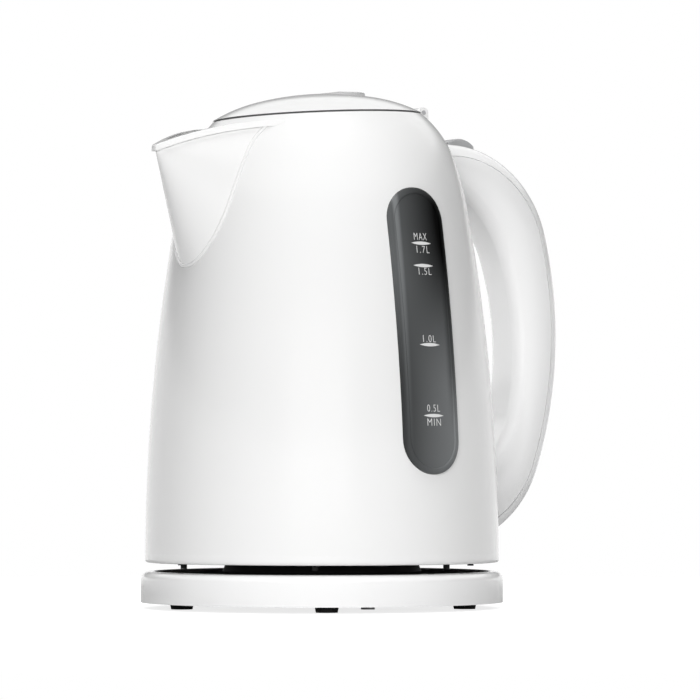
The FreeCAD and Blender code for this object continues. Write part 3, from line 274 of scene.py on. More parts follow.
def metal(name, pale, deep, rough, stretch):
    """A bare metal with lines drawn along one axis."""
    finish = Finish(bpy.data.materials.new(name))
    where = finish.where()
    lines = finish.grain(finish.stretched(where, stretch), LINE_SCALE, 3.0)
    return finish.close(finish.principled({
        "Base Color": finish.blend(finish.grain(where, CLOUD_SCALE), deep, pale),
        "Metallic": 1.0,
        "Roughness": rough * METAL_LEAST + lines * (rough * ROUGH_SPREAD),
        "Normal": finish.bump(lines, LINE_BUMP, LINE_DEPTH),
    }))


RUBBERS = {
    "black_rubber": ("black rubber", grey(0.022), grey(0.012), 0.75, 0.6),
    "seal_grey": ("grey seal rubber", grey(0.10), grey(0.07), 0.6, 0.3),
    "clear_rubber": ("milky silicone", (0.72, 0.72, 0.70, 1), (0.66, 0.66, 0.64, 1), 0.45, 0.25),
    "mesh_grey": ("filter threads", (0.62, 0.63, 0.64, 1), (0.55, 0.56, 0.57, 1), 0.38, 0.1),
}
# Each metal has a name, a pale and a deep tone, a roughness and the stretch of its lines.
METALS = {
    "plate_steel": ("drawn steel",
                    (0.64, 0.64, 0.65, 1), (0.56, 0.56, 0.57, 1), 0.3, (1.0, 0.04, 1.0)),
    "screw_steel": ("screw steel",
                    (0.58, 0.58, 0.59, 1), (0.50, 0.50, 0.51, 1), 0.34, (1.0, 1.0, 0.3)),
    # Painted shade: screw steel darkened to match the dark gap under the jug.
    "screw_painted_shade": ("screw steel darkened as painted shade", grey(0.06), grey(0.035), 0.5, (1.0, 1.0, 0.3)),
    "spreader_aluminium": ("cast aluminium",
                           (0.70, 0.70, 0.71, 1), (0.62, 0.62, 0.63, 1), 0.46, (1.0, 1.0, 1.0)),
    "contact_brass": ("contact brass",
                      (0.80, 0.60, 0.28, 1), (0.72, 0.52, 0.22, 1), 0.3, (1.0, 1.0, 0.2)),
}
finishes.update({slot: plastic(*recipe) for slot, recipe in RUBBERS.items()})
finishes.update({slot: metal(*recipe) for slot, recipe in METALS.items()})
print("finishes so far:", len(finishes))

# %% [markdown]
# ## The smoked window and its print
# The water window is smoke-coloured clear plastic, nearly black where the jug behind it is dark.
# Here the pane is opaque, and the light and shade seen through it are painted into its colour.
# Low down, and there towards its right side, a painted glow of the white wall makes the smoke
# paler.
# High up, a faint painted highlight streaks down its left side, and painted shade darkens its right
# side.
# Gradients by height and side give that without tracing light through the pane, which would be
# noisy and slow.

# %% Smoked plastic and printing ink
WINDOW_TURN = math.radians(6.6)
WINDOW_LOW, WINDOW_HIGH, WINDOW_HALF = 58.8 * MM, 182.4 * MM, 14.8 * MM
WINDOW_PROUD, WINDOW_MIDDLE = 1.4 * MM, 7.8 * MM
# Painted light and shade in the smoke's colour: paler low down, a tilt from side to side, a streak
# of highlight and shade on the right.
SMOKE_DARK, SMOKE_PAINTED_GLOW, SMOKE_PAINTED_STREAK, SMOKE_CLOUDS = 0.038, 0.080, 0.12, 0.015
PAINTED_TILT_LOW, PAINTED_TILT_HIGH = 0.16, 0.068
CORNER_SHADE = 0.6
SMOKE_TINT = (0.96, 1.0, 1.02, 1)


def smoked(name):
    """Smoke-coloured clear plastic with painted light and shade, darkest upper right, palest lower
    right.
    """
    finish = Finish(bpy.data.materials.new(name))
    where = finish.where()
    across = (finish.axis(where, 0) - WINDOW_MIDDLE) * (1 / WINDOW_HALF)
    fall = (WINDOW_HIGH - finish.axis(where, 2)) * (1 / (WINDOW_HIGH - WINDOW_LOW))
    clouds = finish.grain(where, 22.0)
    # Painted light: paler low down, as if the white wall shone through, and tilted from side to
    # side.
    low = finish.ease(fall, 0.10, 0.75)
    painted_side_tilt = finish.ease(fall, 0.20, 0.75) * PAINTED_TILT_LOW - PAINTED_TILT_HIGH
    # Painted highlight: a faint streak down the left side, strongest high up.
    painted_streak = finish.ease(across, -0.90, -0.80) * finish.ease(across, -0.60, -0.74) * (1 - fall)
    # Painted shade: a band down the right side that fades out low down.
    corner = finish.ease(across, 0.62, 0.92) * finish.ease(fall, 0.88, 0.60)
    light = (SMOKE_DARK + low * SMOKE_PAINTED_GLOW + across * painted_side_tilt + painted_streak * SMOKE_PAINTED_STREAK
             + clouds * SMOKE_CLOUDS)
    return finish.close(finish.principled({
        "Base Color": finish.blend(light * (1 - corner * CORNER_SHADE), grey(0.0), SMOKE_TINT),
        "Roughness": 0.14 + clouds * 0.08,
        "Specular IOR Level": 0.07,
        "Normal": finish.bump(finish.grain(where, 900.0, 1.0), 0.04, 0.03 * MM),
    }))


finishes["smoke_window"] = smoked("smoked window plastic with painted light and shade")
ink = plastic("level mark ink", grey(0.84), grey(0.76), 0.55, 0.2)
print("window finishes ready")

# %% [markdown]
# ## The base and the painted shade on its top
# The base is white outside, and the top that faces the jug looks dark in the narrow gap, so it is
# painted dark as shade.
# The base is one solid, so one material has both: a white gloss and a matt dark grey, mixed by
# height and by distance from the axis.
# A soft step between them hides the border under the edge of the jug.

# %% Base finish
BASE_TOP, DECK_RADIUS, DECK_SOFT = 16.2 * MM, 75.0 * MM, 1.5 * MM


def white_with_painted_top_shade(name):
    """White plastic whose top is painted matt dark as shade."""
    finish = Finish(bpy.data.materials.new(name))
    where = finish.where()
    from_axis = finish.reach(finish.stretched(where, (1, 1, 0)))
    high = finish.ease(finish.axis(where, 2), BASE_TOP - 0.4 * MM, BASE_TOP - 0.1 * MM)
    # Painted shade: the top of the base inside the jug's edge turns matt dark grey.
    painted_top_shade = high * finish.ease(from_axis, DECK_RADIUS, DECK_RADIUS - DECK_SOFT)
    tone = finish.grain(where, TONE_SCALE)
    skin = finish.grain(where, SKIN_SCALE, 1.0)
    white = finish.principled({
        "Base Color": finish.blend(tone, grey(0.925), grey(0.945)),
        "Roughness": 0.18 + finish.grain(where, GLOSS_SCALE) * 0.06,
        "Normal": finish.bump(skin, 0.05, SKIN_DEPTH),
        "Coat Weight": 0.8,
        "Coat Roughness": COAT_ROUGHNESS,
    })
    dark = finish.principled({
        "Base Color": finish.blend(tone, grey(0.03), grey(0.045)),
        "Roughness": 0.8,
        "Normal": finish.bump(skin, 0.3, SKIN_DEPTH),
        "Specular IOR Level": 0.05,
    })
    return finish.close(finish.node("ShaderNodeMixShader", {}, {0: painted_top_shade, 1: white, 2: dark}))


finishes["base_white"] = white_with_painted_top_shade("white base with painted shade on its top")
print("base finish ready")

# %% [markdown]
# ## Dressing the solid pieces
# Each solid names a slot, and the slot names its finish, so one table dresses the whole kettle.
# A few pieces differ from their slot, all for painted light and shade: the handle is a brighter
# white as painted light, the base top is painted dark as shade, and the lid's seal and the screws
# under the jug are dark as painted shade.
# The solids themselves stay as they are. Only their materials change.

# %% Put a finish on every solid piece
finish_of = {piece["node"]: piece["material_slot"] for piece in frame["record"]["subparts"]}
finish_of.update({
    # Painted shade: the lid's seal is dark, so that the seam reads as a shadow line.
    "lid_seal": "seal_grey",
    # Painted shade: the base's top is painted dark in this finish.
    "base_cover": "base_white",
    # Painted shade: the screws under the jug are darkened to match the dark gap.
    "jug_cover_screws": "screw_painted_shade",
    # Painted light: a brighter copy of the white plastic on the handle.
    "handle_grip": "handle_white_painted_light",
    "handle_cover": "handle_white_painted_light",
})
for name, solid in nodes.items():
    solid.data.materials.clear()
    solid.data.materials.append(finishes[finish_of[name]])
print("dressed:", len(finish_of))

# %% [markdown]
# ## Making pieces from points
# The trims below are mostly strips that are swept along a line on the jug.
# A strip is a list of cross-sections with the same number of points, joined in order.
# One helper joins them into a closed mesh, so each trim only has to say where its points are.

# %% Helpers for swept pieces
def piece(name, points, faces, finish, body, slot, crease=40):
    """A named mesh that rides on a body."""
    mesh = bpy.data.meshes.new(name)
    mesh.from_pydata([tuple(point) for point in points], [], faces)
    mesh.shade_smooth()
    mesh.set_sharp_from_angle(angle=math.radians(crease))
    mesh.materials.append(finish)
    made = bpy.data.objects.new(name, mesh)
    bpy.context.scene.collection.objects.link(made)
    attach(made, body)
    return made


def sweep(sections, closed):
    """Points and faces of closed cross-sections joined in order, with caps at open ends."""
    size = len(sections[0])
    points = [point for section in sections for point in section]
    count = len(sections)
    faces = []
    for row in range(count if closed else count - 1):
        here, there = row * size, (row + 1) % count * size
        for index in range(size):
            after = (index + 1) % size
            faces.append((here + index, here + after, there + after, there + index))
    if not closed:
        faces.append(tuple(reversed(range(size))))
        faces.append(tuple(range((count - 1) * size, count * size)))
    return points, faces


def on_window(x, z, lift):
    """A point over the window: x right of its middle line, z up, and a lift off the wall."""
    radius = jug_radius(z) + lift
    y = -math.sqrt(radius ** 2 - x ** 2)
    turn_cos, turn_sin = math.cos(WINDOW_TURN), math.sin(WINDOW_TURN)
    return Vector((x * turn_cos - y * turn_sin, x * turn_sin + y * turn_cos, z))


print("a point on the window:", [round(value, 4) for value in on_window(0, 0.12, WINDOW_PROUD)])

# %% [markdown]
# ## The bevelled edge of the window
# The pane of the real window stands a little proud, and a rounded bevel runs round it with a fine
# ridge inside. That ridge catches the light as a thin pale line.
# A swept bead does this with real geometry. Its path is the long round-ended outline of the hole,
# moved inwards for each point of the cross-section.

# %% Window bevel
# Points of the cross-section: how far in from the outline, and how far off the wall.
BEVEL = [(-0.10, -0.4), (-0.10, 0.35), (0.00, 0.95), (0.30, 1.40), (0.95, 1.66), (1.60, 1.70),
         (2.10, 1.80), (2.45, 1.78), (2.75, 1.50), (2.80, 0.9)]


def window_edge(inset, sides=40, ends=28):
    """The outline of the window, moved inwards, as (x, z) pairs."""
    half = WINDOW_HALF - inset
    low, high = WINDOW_LOW + WINDOW_HALF, WINDOW_HIGH - WINDOW_HALF
    turns = [math.pi * step / ends for step in range(ends)]
    line = [(half, low + (high - low) * step / sides) for step in range(sides)]
    line += [(half * math.cos(turn), high + half * math.sin(turn)) for turn in turns]
    line += [(-half, high - (high - low) * step / sides) for step in range(sides)]
    line += [(-half * math.cos(turn), low - half * math.sin(turn)) for turn in turns]
    return line


edges = [window_edge(inset * MM) for inset, _ in BEVEL]
rings = [[on_window(*edge[step], lift * MM) for edge, (_, lift) in zip(edges, BEVEL)]
         for step in range(len(edges[0]))]
window_bevel = piece("window_bevel", *sweep(rings, True),
                     finishes["smoke_window"], "jug", "smoke_window", 60)
print("window bevel points:", len(window_bevel.data.vertices))

# %% [markdown]
# ## Level marks
# The marks are printed on the pane: a thin lens for each level, with its number beside it.
# A print has almost no height, and it follows the curve of the pane.
# So each lens is a thin film of ink, swept across the pane from one fine end to the other.

# %% Lens marks
PRINT_LIFT, INK_FILM = WINDOW_PROUD + 0.03 * MM, 0.05 * MM
LENS_LENGTH, LENS_HEIGHT, LENS_X = 10.9 * MM, 1.45 * MM, 0.4 * MM
LENS_POWER, LENS_TIP = 2.2, 0.02 * MM
MARK_HEIGHTS = {"level_full": 158.1, "level_1500": 148.4, "level_1000": 114.3, "level_500": 83.9}


def lens(name, z, steps=24):
    """A lens-shaped mark on the pane."""
    sections = []
    for step in range(steps + 1):
        share = 2 * step / steps - 1
        half = max(LENS_HEIGHT / 2 * (1 - abs(share) ** LENS_POWER), LENS_TIP)
        x = LENS_X + share * LENS_LENGTH / 2
        corners = ((-half, 0), (-half, INK_FILM), (half, INK_FILM), (half, 0))
        sections.append([on_window(x, z + up, PRINT_LIFT + film) for up, film in corners])
    piece(name, *sweep(sections, False), ink, "jug", "white_matte")


for name, height in MARK_HEIGHTS.items():
    lens(name, height * MM)
print("level marks:", len(MARK_HEIGHTS))

# %% [markdown]
# ## Numbers beside the marks
# Plain numbers of litres are generic, so they can be lettered with Blender's own font.
# A text object stays flat, so its letters become a mesh first.
# The mesh is fitted to its box and then laid on the curved pane as a thin film of ink.

# %% Lettering
LETTER_HEIGHT, LETTER_THINNING, LETTER_SPACING = 3.0 * MM, -0.014, 1.2
# Each number has its words, a width, and the place of its middle on the pane in millimetres.
LETTERING = {
    "number_full": ("MAX", 7.0, 0.2, 161.0),
    "number_1700": ("1.7L", 7.0, 1.0, 155.4),
    "number_1500": ("1.5L", 7.0, 1.0, 145.95),
    "number_1000": ("1.0L", 7.0, 0.4, 116.9),
    "number_500": ("0.5L", 7.0, 0.4, 87.1),
    "number_least": ("MIN", 7.4, 0.4, 81.1),
}


def text_mesh(name, words):
    """Words as a flat mesh with a front and a back."""
    curve = bpy.data.curves.new(name, "FONT")
    curve.body = words
    curve.extrude = 0.5
    curve.resolution_u = 4
    curve.offset = LETTER_THINNING
    curve.space_character = LETTER_SPACING
    writer = bpy.data.objects.new(name + "_curve", curve)
    bpy.context.scene.collection.objects.link(writer)
    bpy.context.view_layer.update()
    written = writer.evaluated_get(bpy.context.evaluated_depsgraph_get())
    mesh = bpy.data.meshes.new_from_object(written)
    bpy.data.objects.remove(writer)
    return mesh


def lettering(name, words, width, x, z):
    """Words as a film of ink on the pane, fitted to a width around a middle."""
    mesh = text_mesh(name, words)
    across = [vertex.co.x for vertex in mesh.vertices]
    upright = [vertex.co.y for vertex in mesh.vertices]
    left, right, bottom, top = min(across), max(across), min(upright), max(upright)
    points = []
    for vertex in mesh.vertices:
        flat_x = x + width * ((vertex.co.x - left) / (right - left) - 0.5)
        flat_z = z + LETTER_HEIGHT * ((vertex.co.y - bottom) / (top - bottom) - 0.5)
        points.append(on_window(flat_x, flat_z, PRINT_LIFT + INK_FILM * (vertex.co.z > 0)))
    faces = [tuple(face.vertices) for face in mesh.polygons]
    piece(name, points, faces, ink, "jug", "white_matte", 30)


for name, (words, width, x, z) in LETTERING.items():
    lettering(name, words, width * MM, x * MM, z * MM)
print("numbers:", ", ".join(words for words, *_ in LETTERING.values()))

# %% [markdown]
# ## The bead at the root of the spout
# The spout is a cone that grows out of the wall, and a narrow rounded bead runs along the corner
# between them. On the real kettle it shows as a fine bright line.
# The line where cone and wall meet is found by halving steps. At each of its points the bead is a
# round arc about the corner, from the wall to the side of the cone.

# %% Spout bead
SPOUT_REACH, SPOUT_Z = 85.0 * MM, 201.3 * MM
SPOUT_SPREAD, SPOUT_DEPTH, SPOUT_FALL = 0.92, 2.07, 1.15
LIP_RISE, LIP_MARGIN = 0.26, 0.02
BEAD, BEAD_ROOT = 0.85 * MM, 0.3 * MM
BEAD_STEPS, BEAD_ARC, HALVINGS = 180, 8, 50


def cone_point(along, turn):
    """A point of the spout cone, by its distance from the tip and its turn round the axis."""
    return Vector((along - SPOUT_REACH, SPOUT_SPREAD * along * math.cos(turn),
                   SPOUT_Z - SPOUT_FALL * along + SPOUT_DEPTH * along * math.sin(turn)))


def meeting(turn):
    """Where the cone's line at a turn runs into the wall of the jug."""
    near, far = 3.0 * MM, 46.0 * MM
    for _ in range(HALVINGS):
        middle = (near + far) / 2
        spot = cone_point(middle, turn)
        if math.hypot(spot.x, spot.y) > jug_radius(spot.z):
            near = middle
        else:
            far = middle
    return near


def wall_normal(spot):
    """The outward direction of the wall of the jug."""
    step = 0.1 * MM
    slope = (jug_radius(spot.z + step) - jug_radius(spot.z - step)) / (2 * step)
    out = Vector((spot.x, spot.y, 0)).normalized()
    return (out - Vector((0, 0, slope))).normalized()


def cone_normal(along, turn):
    """The outward direction of the spout cone."""
    step = 0.001
    around_axis = cone_point(along, turn + step) - cone_point(along, turn - step)
    from_tip = cone_point(along, turn) - cone_point(0, turn)
    return around_axis.cross(from_tip).normalized()


def bead_section(turn):
    """One cross-section of the bead: an arc over the corner, and a root inside it."""
    along = meeting(turn)
    spot = cone_point(along, turn)
    wall, cone = wall_normal(spot), cone_normal(along, turn)
    line = wall.cross(cone).normalized()
    on_wall, on_cone = line.cross(wall), line.cross(cone)
    on_wall = on_wall if on_wall.dot(cone) > 0 else -on_wall
    on_cone = on_cone if on_cone.dot(wall) > 0 else -on_cone
    spread = on_wall.angle(on_cone)
    section = []
    for step in range(BEAD_ARC + 1):
        share = step / BEAD_ARC
        arm = on_wall * math.sin((1 - share) * spread) + on_cone * math.sin(share * spread)
        section.append(spot + BEAD * arm / math.sin(spread))
    return section + [spot - BEAD_ROOT * (wall + cone)]


lip_turn = math.asin((SPOUT_FALL + LIP_RISE) / SPOUT_DEPTH - LIP_MARGIN)
bead_turn = math.pi + 2 * lip_turn
sections = [bead_section(-math.pi - lip_turn + bead_turn * number / BEAD_STEPS)
            for number in range(BEAD_STEPS + 1)]
piece("spout_bead", *sweep(sections, False), finishes["white_gloss"], "jug", "white_gloss", 70)
print("spout bead sections:", len(sections))

# %% [markdown]
# ## The rounded nose of the spout
# The tip of the real spout is softly rounded, and the solid one ends in a small flat face.
# A pillow closes that face, because a face so small would need a very fine round in the solid.
# It is a row of outlines that shrink as they go forwards, from nearly square to nearly round.

# %% Spout nose
NOSE_MIDDLE, NOSE_WIDE, NOSE_TALL, NOSE_TAPER = 199.9 * MM, 2.06 * MM, 1.42 * MM, 0.09
NOSE_SWELL, NOSE_SQUARE, NOSE_ROOT = 0.55 * MM, 5.0, 0.4 * MM
NOSE_OUTLINES, NOSE_BEND = 9, 10.5


def nose_outline(bend, steps=32):
    """One outline of the nose, at a bend from 0 at its root to a quarter turn at its tip."""
    power = 2 / (NOSE_SQUARE - (NOSE_SQUARE - 2) * math.sin(bend))
    x = -SPOUT_REACH - NOSE_SWELL * math.sin(bend)
    line = []
    for step in range(steps):
        turn = math.tau * step / steps
        across, up = (math.copysign(abs(value) ** power, value) * math.cos(bend)
                      for value in (math.cos(turn), math.sin(turn)))
        line.append(Vector((x, NOSE_WIDE * across * (1 - NOSE_TAPER * up),
                            NOSE_MIDDLE + NOSE_TALL * up)))
    return line


outlines = [nose_outline(math.radians(NOSE_BEND * step)) for step in range(NOSE_OUTLINES)]
outlines.insert(0, [spot + Vector((NOSE_ROOT, 0, 0)) for spot in outlines[0]])
spout_nose = piece("spout_nose", *sweep(outlines, False),
                   finishes["white_gloss"], "jug", "white_gloss", 60)
print("spout nose points:", len(spout_nose.data.vertices))

# %% [markdown]
# ## The rolled edge under the jug
# The wall of the jug ends in a small rounded edge just above the gap, where every flat facet would
# show against white. A ring that is turned in fine steps covers the solid's edge with a smooth one.
# Its cross-section comes down the wall, turns the corner in a quarter circle and closes inside
# the wall.

# %% Jug edge
EDGE_ROUND, EDGE_SKIN = 1.2 * MM, 0.06 * MM
EDGE_STEPS, EDGE_QUARTER = 288, 10
EDGE_START, EDGE_JOIN = FOOT_Z + 3.0 * MM, FOOT_Z + 1.5 * MM
# Points inside the wall: how far in from its foot, and how far up.
EDGE_INSIDE = [(2.4 * MM, -EDGE_ROUND - EDGE_SKIN), (2.2 * MM, -0.5 * MM), (1.2 * MM, 2.6 * MM)]

profile = [(jug_radius(EDGE_START) - 0.5 * EDGE_SKIN, EDGE_START),
           (jug_radius(EDGE_JOIN) + EDGE_SKIN, EDGE_JOIN)]
for step in range(EDGE_QUARTER + 1):
    bend = math.radians(-90.0 * step / EDGE_QUARTER)
    profile.append((FOOT_RADIUS - EDGE_ROUND + (EDGE_ROUND + EDGE_SKIN) * math.cos(bend),
                    FOOT_Z + (EDGE_ROUND + EDGE_SKIN) * math.sin(bend)))
profile += [(FOOT_RADIUS - inset, FOOT_Z + rise) for inset, rise in EDGE_INSIDE]
rings = []
for step in range(EDGE_STEPS):
    turn = math.tau * step / EDGE_STEPS
    rings.append([Vector((radius * math.cos(turn), radius * math.sin(turn), z))
                  for radius, z in profile])
jug_edge = piece("jug_edge", *sweep(rings, True),
                 finishes["white_gloss"], "jug", "white_gloss", 50)
print("jug edge points:", len(jug_edge.data.vertices))

# %% [markdown]
# ## The crowned sides of the handle
# The solid handle has flat sides with rounded edges. On the real one the sides are crowned, so
# they shade softly. A thin skin on each side adds that crown.
# It starts on the round of the finger side and ends beside the seam. Between the two it follows a
# cubic curve whose slopes match the rounds that it starts and ends on.

# %% Handle crowns
HANDLE_HALF, CROWN_ROOT = 13.0 * MM, 0.6 * MM
# Three arcs for each line, from the top down: a centre and a radius, in millimetres.
FINGER_SIDE = [((35.33, 138.0), 61.75), ((-37.2, 114.0), 138.15), ((60.71, 95.2), 38.45)]
SEAM_SIDE = [((63.51, 154.9), 46.6), ((-58.2, 122.3), 172.6), ((62.24, 77.8), 44.2)]
CROWN_ENDS = (55.5, 75.3)
# Height in millimetres and slope of the crown at its two sides.
FINGER_RISE, FINGER_SLOPE = -0.29, math.tan(math.radians(18.0))
SEAM_RISE, SEAM_SLOPE = -0.16, math.tan(math.radians(11.5))


def arch(arcs, count=90):
    """Points down a line of three arcs that meet smoothly, at even steps, in millimetres."""
    (top, top_bend), (back, _), (low, low_bend) = arcs
    first = math.acos((CROWN_ENDS[0] - top[0]) / top_bend)
    upper = math.atan2(top[1] - back[1], top[0] - back[0])
    lower = math.atan2(low[1] - back[1], low[0] - back[0])
    last = -math.acos((CROWN_ENDS[1] - low[0]) / low_bend)
    turns = list(zip((first, upper, lower), (upper, lower, last)))
    lengths = [bend * (start - end) for (_, bend), (start, end) in zip(arcs, turns)]
    line = []
    for step in range(count + 1):
        left = sum(lengths) * step / count
        number = 0
        while number < 2 and left > lengths[number]:
            left -= lengths[number]
            number += 1
        (centre, bend), (start, _) = arcs[number], turns[number]
        turn = start - left / bend
        line.append(Vector((centre[0] + bend * math.cos(turn), centre[1] + bend * math.sin(turn))))
    return line


def crown_swell(share, width):
    """Height of the crown at a share of the way across, in millimetres."""
    rest = 1 - share
    return (rest ** 2 * (1 + 2 * share) * FINGER_RISE + share ** 2 * (3 - 2 * share) * SEAM_RISE
            + width * share * rest * (rest * FINGER_SLOPE + share * SEAM_SLOPE))


def crowned_side(name, facing, steps=14):
    """A crowned skin on one side of the handle."""
    sections = []
    for near, far in zip(arch(FINGER_SIDE), arch(SEAM_SIDE)):
        width = (far - near).length
        outside, inside = [], []
        for step in range(steps + 1):
            share = step / steps
            flat = near.lerp(far, share) * MM
            swell = crown_swell(share, width) * MM
            outside.append(Vector((flat.x, facing * (HANDLE_HALF + swell), flat.y)))
            inside.append(Vector((flat.x, facing * (HANDLE_HALF - CROWN_ROOT), flat.y)))
        sections.append(outside + inside[::-1])
    return piece(name, *sweep(sections, False), finishes["handle_white_painted_light"], "jug", "white_gloss", 35)


for name, facing in (("handle_crown_near", -1), ("handle_crown_far", 1)):
    made = crowned_side(name, facing)
    print(name, "points:", len(made.data.vertices))

# %% [markdown]
# ## The woven filter behind the spout
# Inside the spout sits a frame with four panes of fine woven mesh that holds back scale.
# The solid model has a plain sheet there. Threads that cross over and under each other show the
# weave. Each thread is a thin tube along the curve of the wall, and its depth swaps sides at every
# crossing.

# %% Filter threads
FILTER_LOW, FILTER_HEIGHT, FILTER_HALF = 145.8 * MM, 61.7 * MM, 25.0 * MM
FILTER_BORDER, FILTER_INSET, LEAST_LEAN = 3.0 * MM, 3.72 * MM, 0.3
THREAD, THREAD_PITCH, WEAVE = 0.16 * MM, 1.28 * MM, 0.14 * MM
PANE_WIDTH = FILTER_HALF - 1.5 * FILTER_BORDER
PANE_HEIGHT = (FILTER_HEIGHT - 3 * FILTER_BORDER) / 2
COLUMNS, ROWS = round(PANE_WIDTH / THREAD_PITCH), round(PANE_HEIGHT / THREAD_PITCH)


def on_filter(y, z, depth):
    """A point on the filter, set in from the wall at the spout side."""
    normal = wall_normal(Vector((-jug_radius(z), 0, z)))
    inset = FILTER_INSET / max(-normal.x, LEAST_LEAN)
    radius = jug_radius(z + FILTER_INSET * normal.z) - inset + depth
    return Vector((-math.sqrt(radius ** 2 - y ** 2), y, z))


def tube(line, thickness, sides=4):
    """Cross-sections of a thin tube along a line of points."""
    turns = [math.tau * corner / sides for corner in range(sides)]
    sections = []
    for step, spot in enumerate(line):
        ahead = (line[min(step + 1, len(line) - 1)] - line[max(step - 1, 0)]).normalized()
        first = ahead.cross(Vector((1, 0, 0.001))).normalized()
        second = ahead.cross(first)
        sections.append([spot + thickness * (math.cos(turn) * first + math.sin(turn) * second)
                         for turn in turns])
    return sections


def pane_threads(left, low):
    """The lines of the threads in one pane: the uprights, then those that cross them."""
    def crossing(column, row, depth):
        return on_filter(left + PANE_WIDTH * column / COLUMNS, low + PANE_HEIGHT * row / ROWS,
                         depth * (-1) ** (column + row))

    uprights = [[crossing(column, row, WEAVE) for row in range(ROWS + 1)]
                for column in range(1, COLUMNS)]
    return uprights + [[crossing(column, row, -WEAVE) for column in range(COLUMNS + 1)]
                       for row in range(1, ROWS)]


points, faces = [], []
for left in (-FILTER_HALF + FILTER_BORDER, FILTER_BORDER / 2):
    for low in (FILTER_LOW + FILTER_BORDER, FILTER_LOW + 2 * FILTER_BORDER + PANE_HEIGHT):
        for line in pane_threads(left, low):
            more_points, more_faces = sweep(tube(line, THREAD), False)
            faces += [tuple(index + len(points) for index in face) for face in more_faces]
            points += more_points
filter_weave = piece("filter_weave", points, faces, finishes["mesh_grey"], "jug", "mesh_grey", 80)
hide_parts("spout_filter_mesh")
print("filter threads:", 4 * (COLUMNS + ROWS - 2))

# %% [markdown]
# ## The studio around the kettle
# The kettle stands in plain white, as in a catalogue. Rays from the camera see pure white, and so
# do rays that pass through or mirror, while the light on the kettle itself stays at a plain level.
# White on white has no outline, so photographers hang a dark strip where only the gloss shows it.
# Here mirror rays meet that strip a little above the horizon, and it draws a thin grey edge along
# lid and handle.

# %% World
AMBIENT = 0.06
STRIP_LOW, STRIP_HIGH, STRIP_SHADE = (0.10, 0.15), (0.46, 0.32), 0.75

world = bpy.data.worlds.new("studio")
bpy.context.scene.world = world
studio = Finish(world)
rise = studio.axis(studio.node("ShaderNodeTexCoord"), 2)
strip = studio.ease(rise, *STRIP_LOW) * studio.ease(rise, *STRIP_HIGH)
mirrored = studio.ray(MIRROR_RAY) * (1 - strip * STRIP_SHADE)
seen = studio.ray(CAMERA_RAY) | studio.ray(CLEAR_RAY) | mirrored
backdrop = studio.node("ShaderNodeBackground", {}, {
    "Color": grey(1.0),
    "Strength": AMBIENT + seen * (1 - AMBIENT),
})
studio.node("ShaderNodeOutputWorld", {}, {"Surface": backdrop})
print("world ambient:", AMBIENT)

# %% [markdown]
# ## The floor
# A round sheet under the kettle takes its soft shadow. It fades to clear at its rim, where the
# white surround takes over, so it has no horizon.
# Its paper is a middle grey, so that it throws little light back up at the kettle.
# For the camera alone it glows, so that it still looks white.

# %% Floor
FLOOR_RADIUS, FLOOR_FADE, FLOOR_LIFT = 0.60, 0.30, 0.80
FLOOR_STEPS, FLOOR_Z = 96, -0.0001


def floor_finish():
    """Paper that looks white to the camera and fades out towards its rim."""
    finish = Finish(bpy.data.materials.new("white floor"))
    where = finish.where()
    fade = finish.ease(finish.reach(where), FLOOR_FADE, FLOOR_RADIUS)
    paper = finish.node("ShaderNodeBsdfDiffuse", {}, {
        "Color": finish.blend(finish.grain(where, 30.0), grey(0.45), grey(0.47))})
    glow = finish.node("ShaderNodeEmission", {}, {
        "Color": grey(1.0), "Strength": finish.ray(CAMERA_RAY) * FLOOR_LIFT})
    lit = finish.node("ShaderNodeAddShader", {}, {0: paper, 1: glow})
    clear = finish.node("ShaderNodeBsdfTransparent")
    return finish.close(finish.node("ShaderNodeMixShader", {}, {0: fade, 1: lit, 2: clear}))


turns = [math.tau * step / FLOOR_STEPS for step in range(FLOOR_STEPS)]
rim = [(FLOOR_RADIUS * math.cos(turn), FLOOR_RADIUS * math.sin(turn), FLOOR_Z) for turn in turns]
sheet = bpy.data.meshes.new("floor")
sheet.from_pydata(rim, [], [tuple(range(FLOOR_STEPS))])
sheet.materials.append(floor_finish())
floor = bpy.data.objects.new("floor", sheet)
bpy.context.scene.collection.objects.link(floor)
print("floor radius:", FLOOR_RADIUS)

# %% [markdown]
# ## Camera
# The photograph looks as if it was taken from far away with a long lens, a little above the base.
# From so far, near and far edges look almost equally large, and the base shows nearly edge-on.
# The camera stands 1.7 metres from the axis and looks up by about two degrees.

# %% Camera
EYE_DISTANCE, EYE_HEIGHT = 1.700, 0.0564
TOWARDS_EYE = Vector((-0.5195, -0.8545, 0))
TO_THE_RIGHT = Vector((0.8545, -0.5195, 0))
AIM = TO_THE_RIGHT * 0.0124 + Vector((0, 0, 0.1140))
SENSOR_WIDTH, FOCAL_LENGTH, FAR_LIMIT = 36.0, 197.3, 20.0


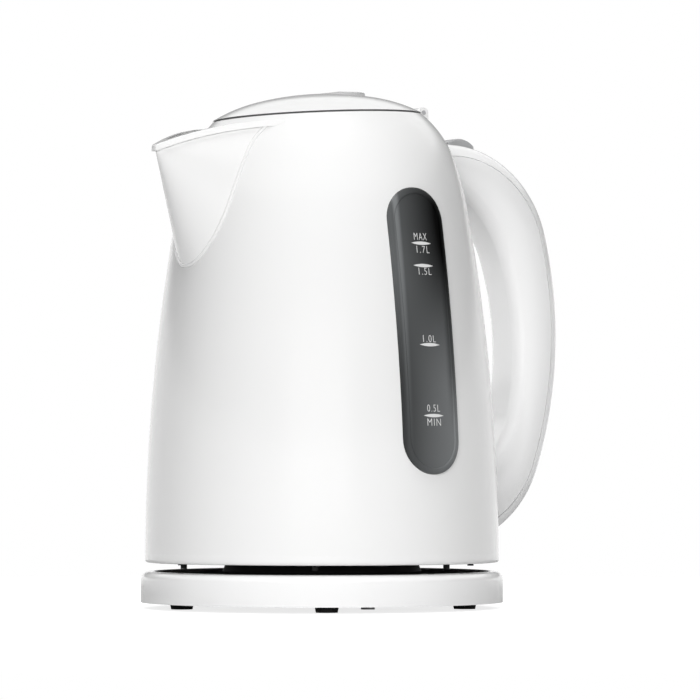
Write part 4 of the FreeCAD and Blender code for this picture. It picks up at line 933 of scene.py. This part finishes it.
def turn_towards(spot, aim):
    """The rotation that turns a camera or a lamp at a spot towards a point."""
    return (aim - spot).to_track_quat("-Z", "Y").to_euler()


optics = bpy.data.cameras.new("camera")
optics.sensor_width = SENSOR_WIDTH
optics.lens = FOCAL_LENGTH
optics.clip_end = FAR_LIMIT
camera = bpy.data.objects.new("camera", optics)
camera.location = TOWARDS_EYE * EYE_DISTANCE + Vector((0, 0, EYE_HEIGHT))
camera.rotation_euler = turn_towards(camera.location, AIM)
bpy.context.scene.collection.objects.link(camera)
bpy.context.scene.camera = camera
bpy.context.scene.view_settings.view_transform = "Standard"
print("camera at", [round(value, 3) for value in camera.location])

# %% [markdown]
# ## Lamps
# White plastic needs shape from light alone: bright in front, a soft shade on both flanks and a
# bright thin rim. One wide lamp by the camera lights the front, two tall strips from behind light
# the rims, and a lamp above lights the lid.
# The strips stay weak, because the kettle's back would turn to plain white under stronger ones.

# %% Lamps
LAMP_AIM = Vector((0, 0, 0.11))
# Each lamp has a place (towards the camera, to its right, and up), a size and its watts.
LAMPS = {
    "front_lamp": ((1.6, -0.06, 0.32), (1.2, 0.5), 21.6),
    "left_strip": ((-0.90, -0.52, 0.52), (0.4, 0.9), 7.5),
    "right_strip": ((-0.80, 0.62, 0.52), (0.4, 0.9), 7.0),
    "top_lamp": ((0.25, 0.0, 1.35), (0.8, 0.8), 8.0),
}


def lamp(name, place, size, watts):
    """A soft lamp aimed at the middle of the kettle, with no mirror image of itself."""
    out, right, up = place
    spot = TOWARDS_EYE * out + TO_THE_RIGHT * right + Vector((0, 0, up))
    data = bpy.data.lights.new(name, "AREA")
    data.shape = "RECTANGLE"
    data.size, data.size_y = size
    data.energy = watts
    made = bpy.data.objects.new(name, data)
    made.location = spot
    made.rotation_euler = turn_towards(spot, LAMP_AIM)
    made.visible_glossy = False
    bpy.context.scene.collection.objects.link(made)


for name, recipe in LAMPS.items():
    lamp(name, *recipe)
print("lamps:", ", ".join(LAMPS))

# %% [markdown]
# ## The end
# The dressed kettle has to stay as large as the solid one.

# %% End
print("the scene is ready")
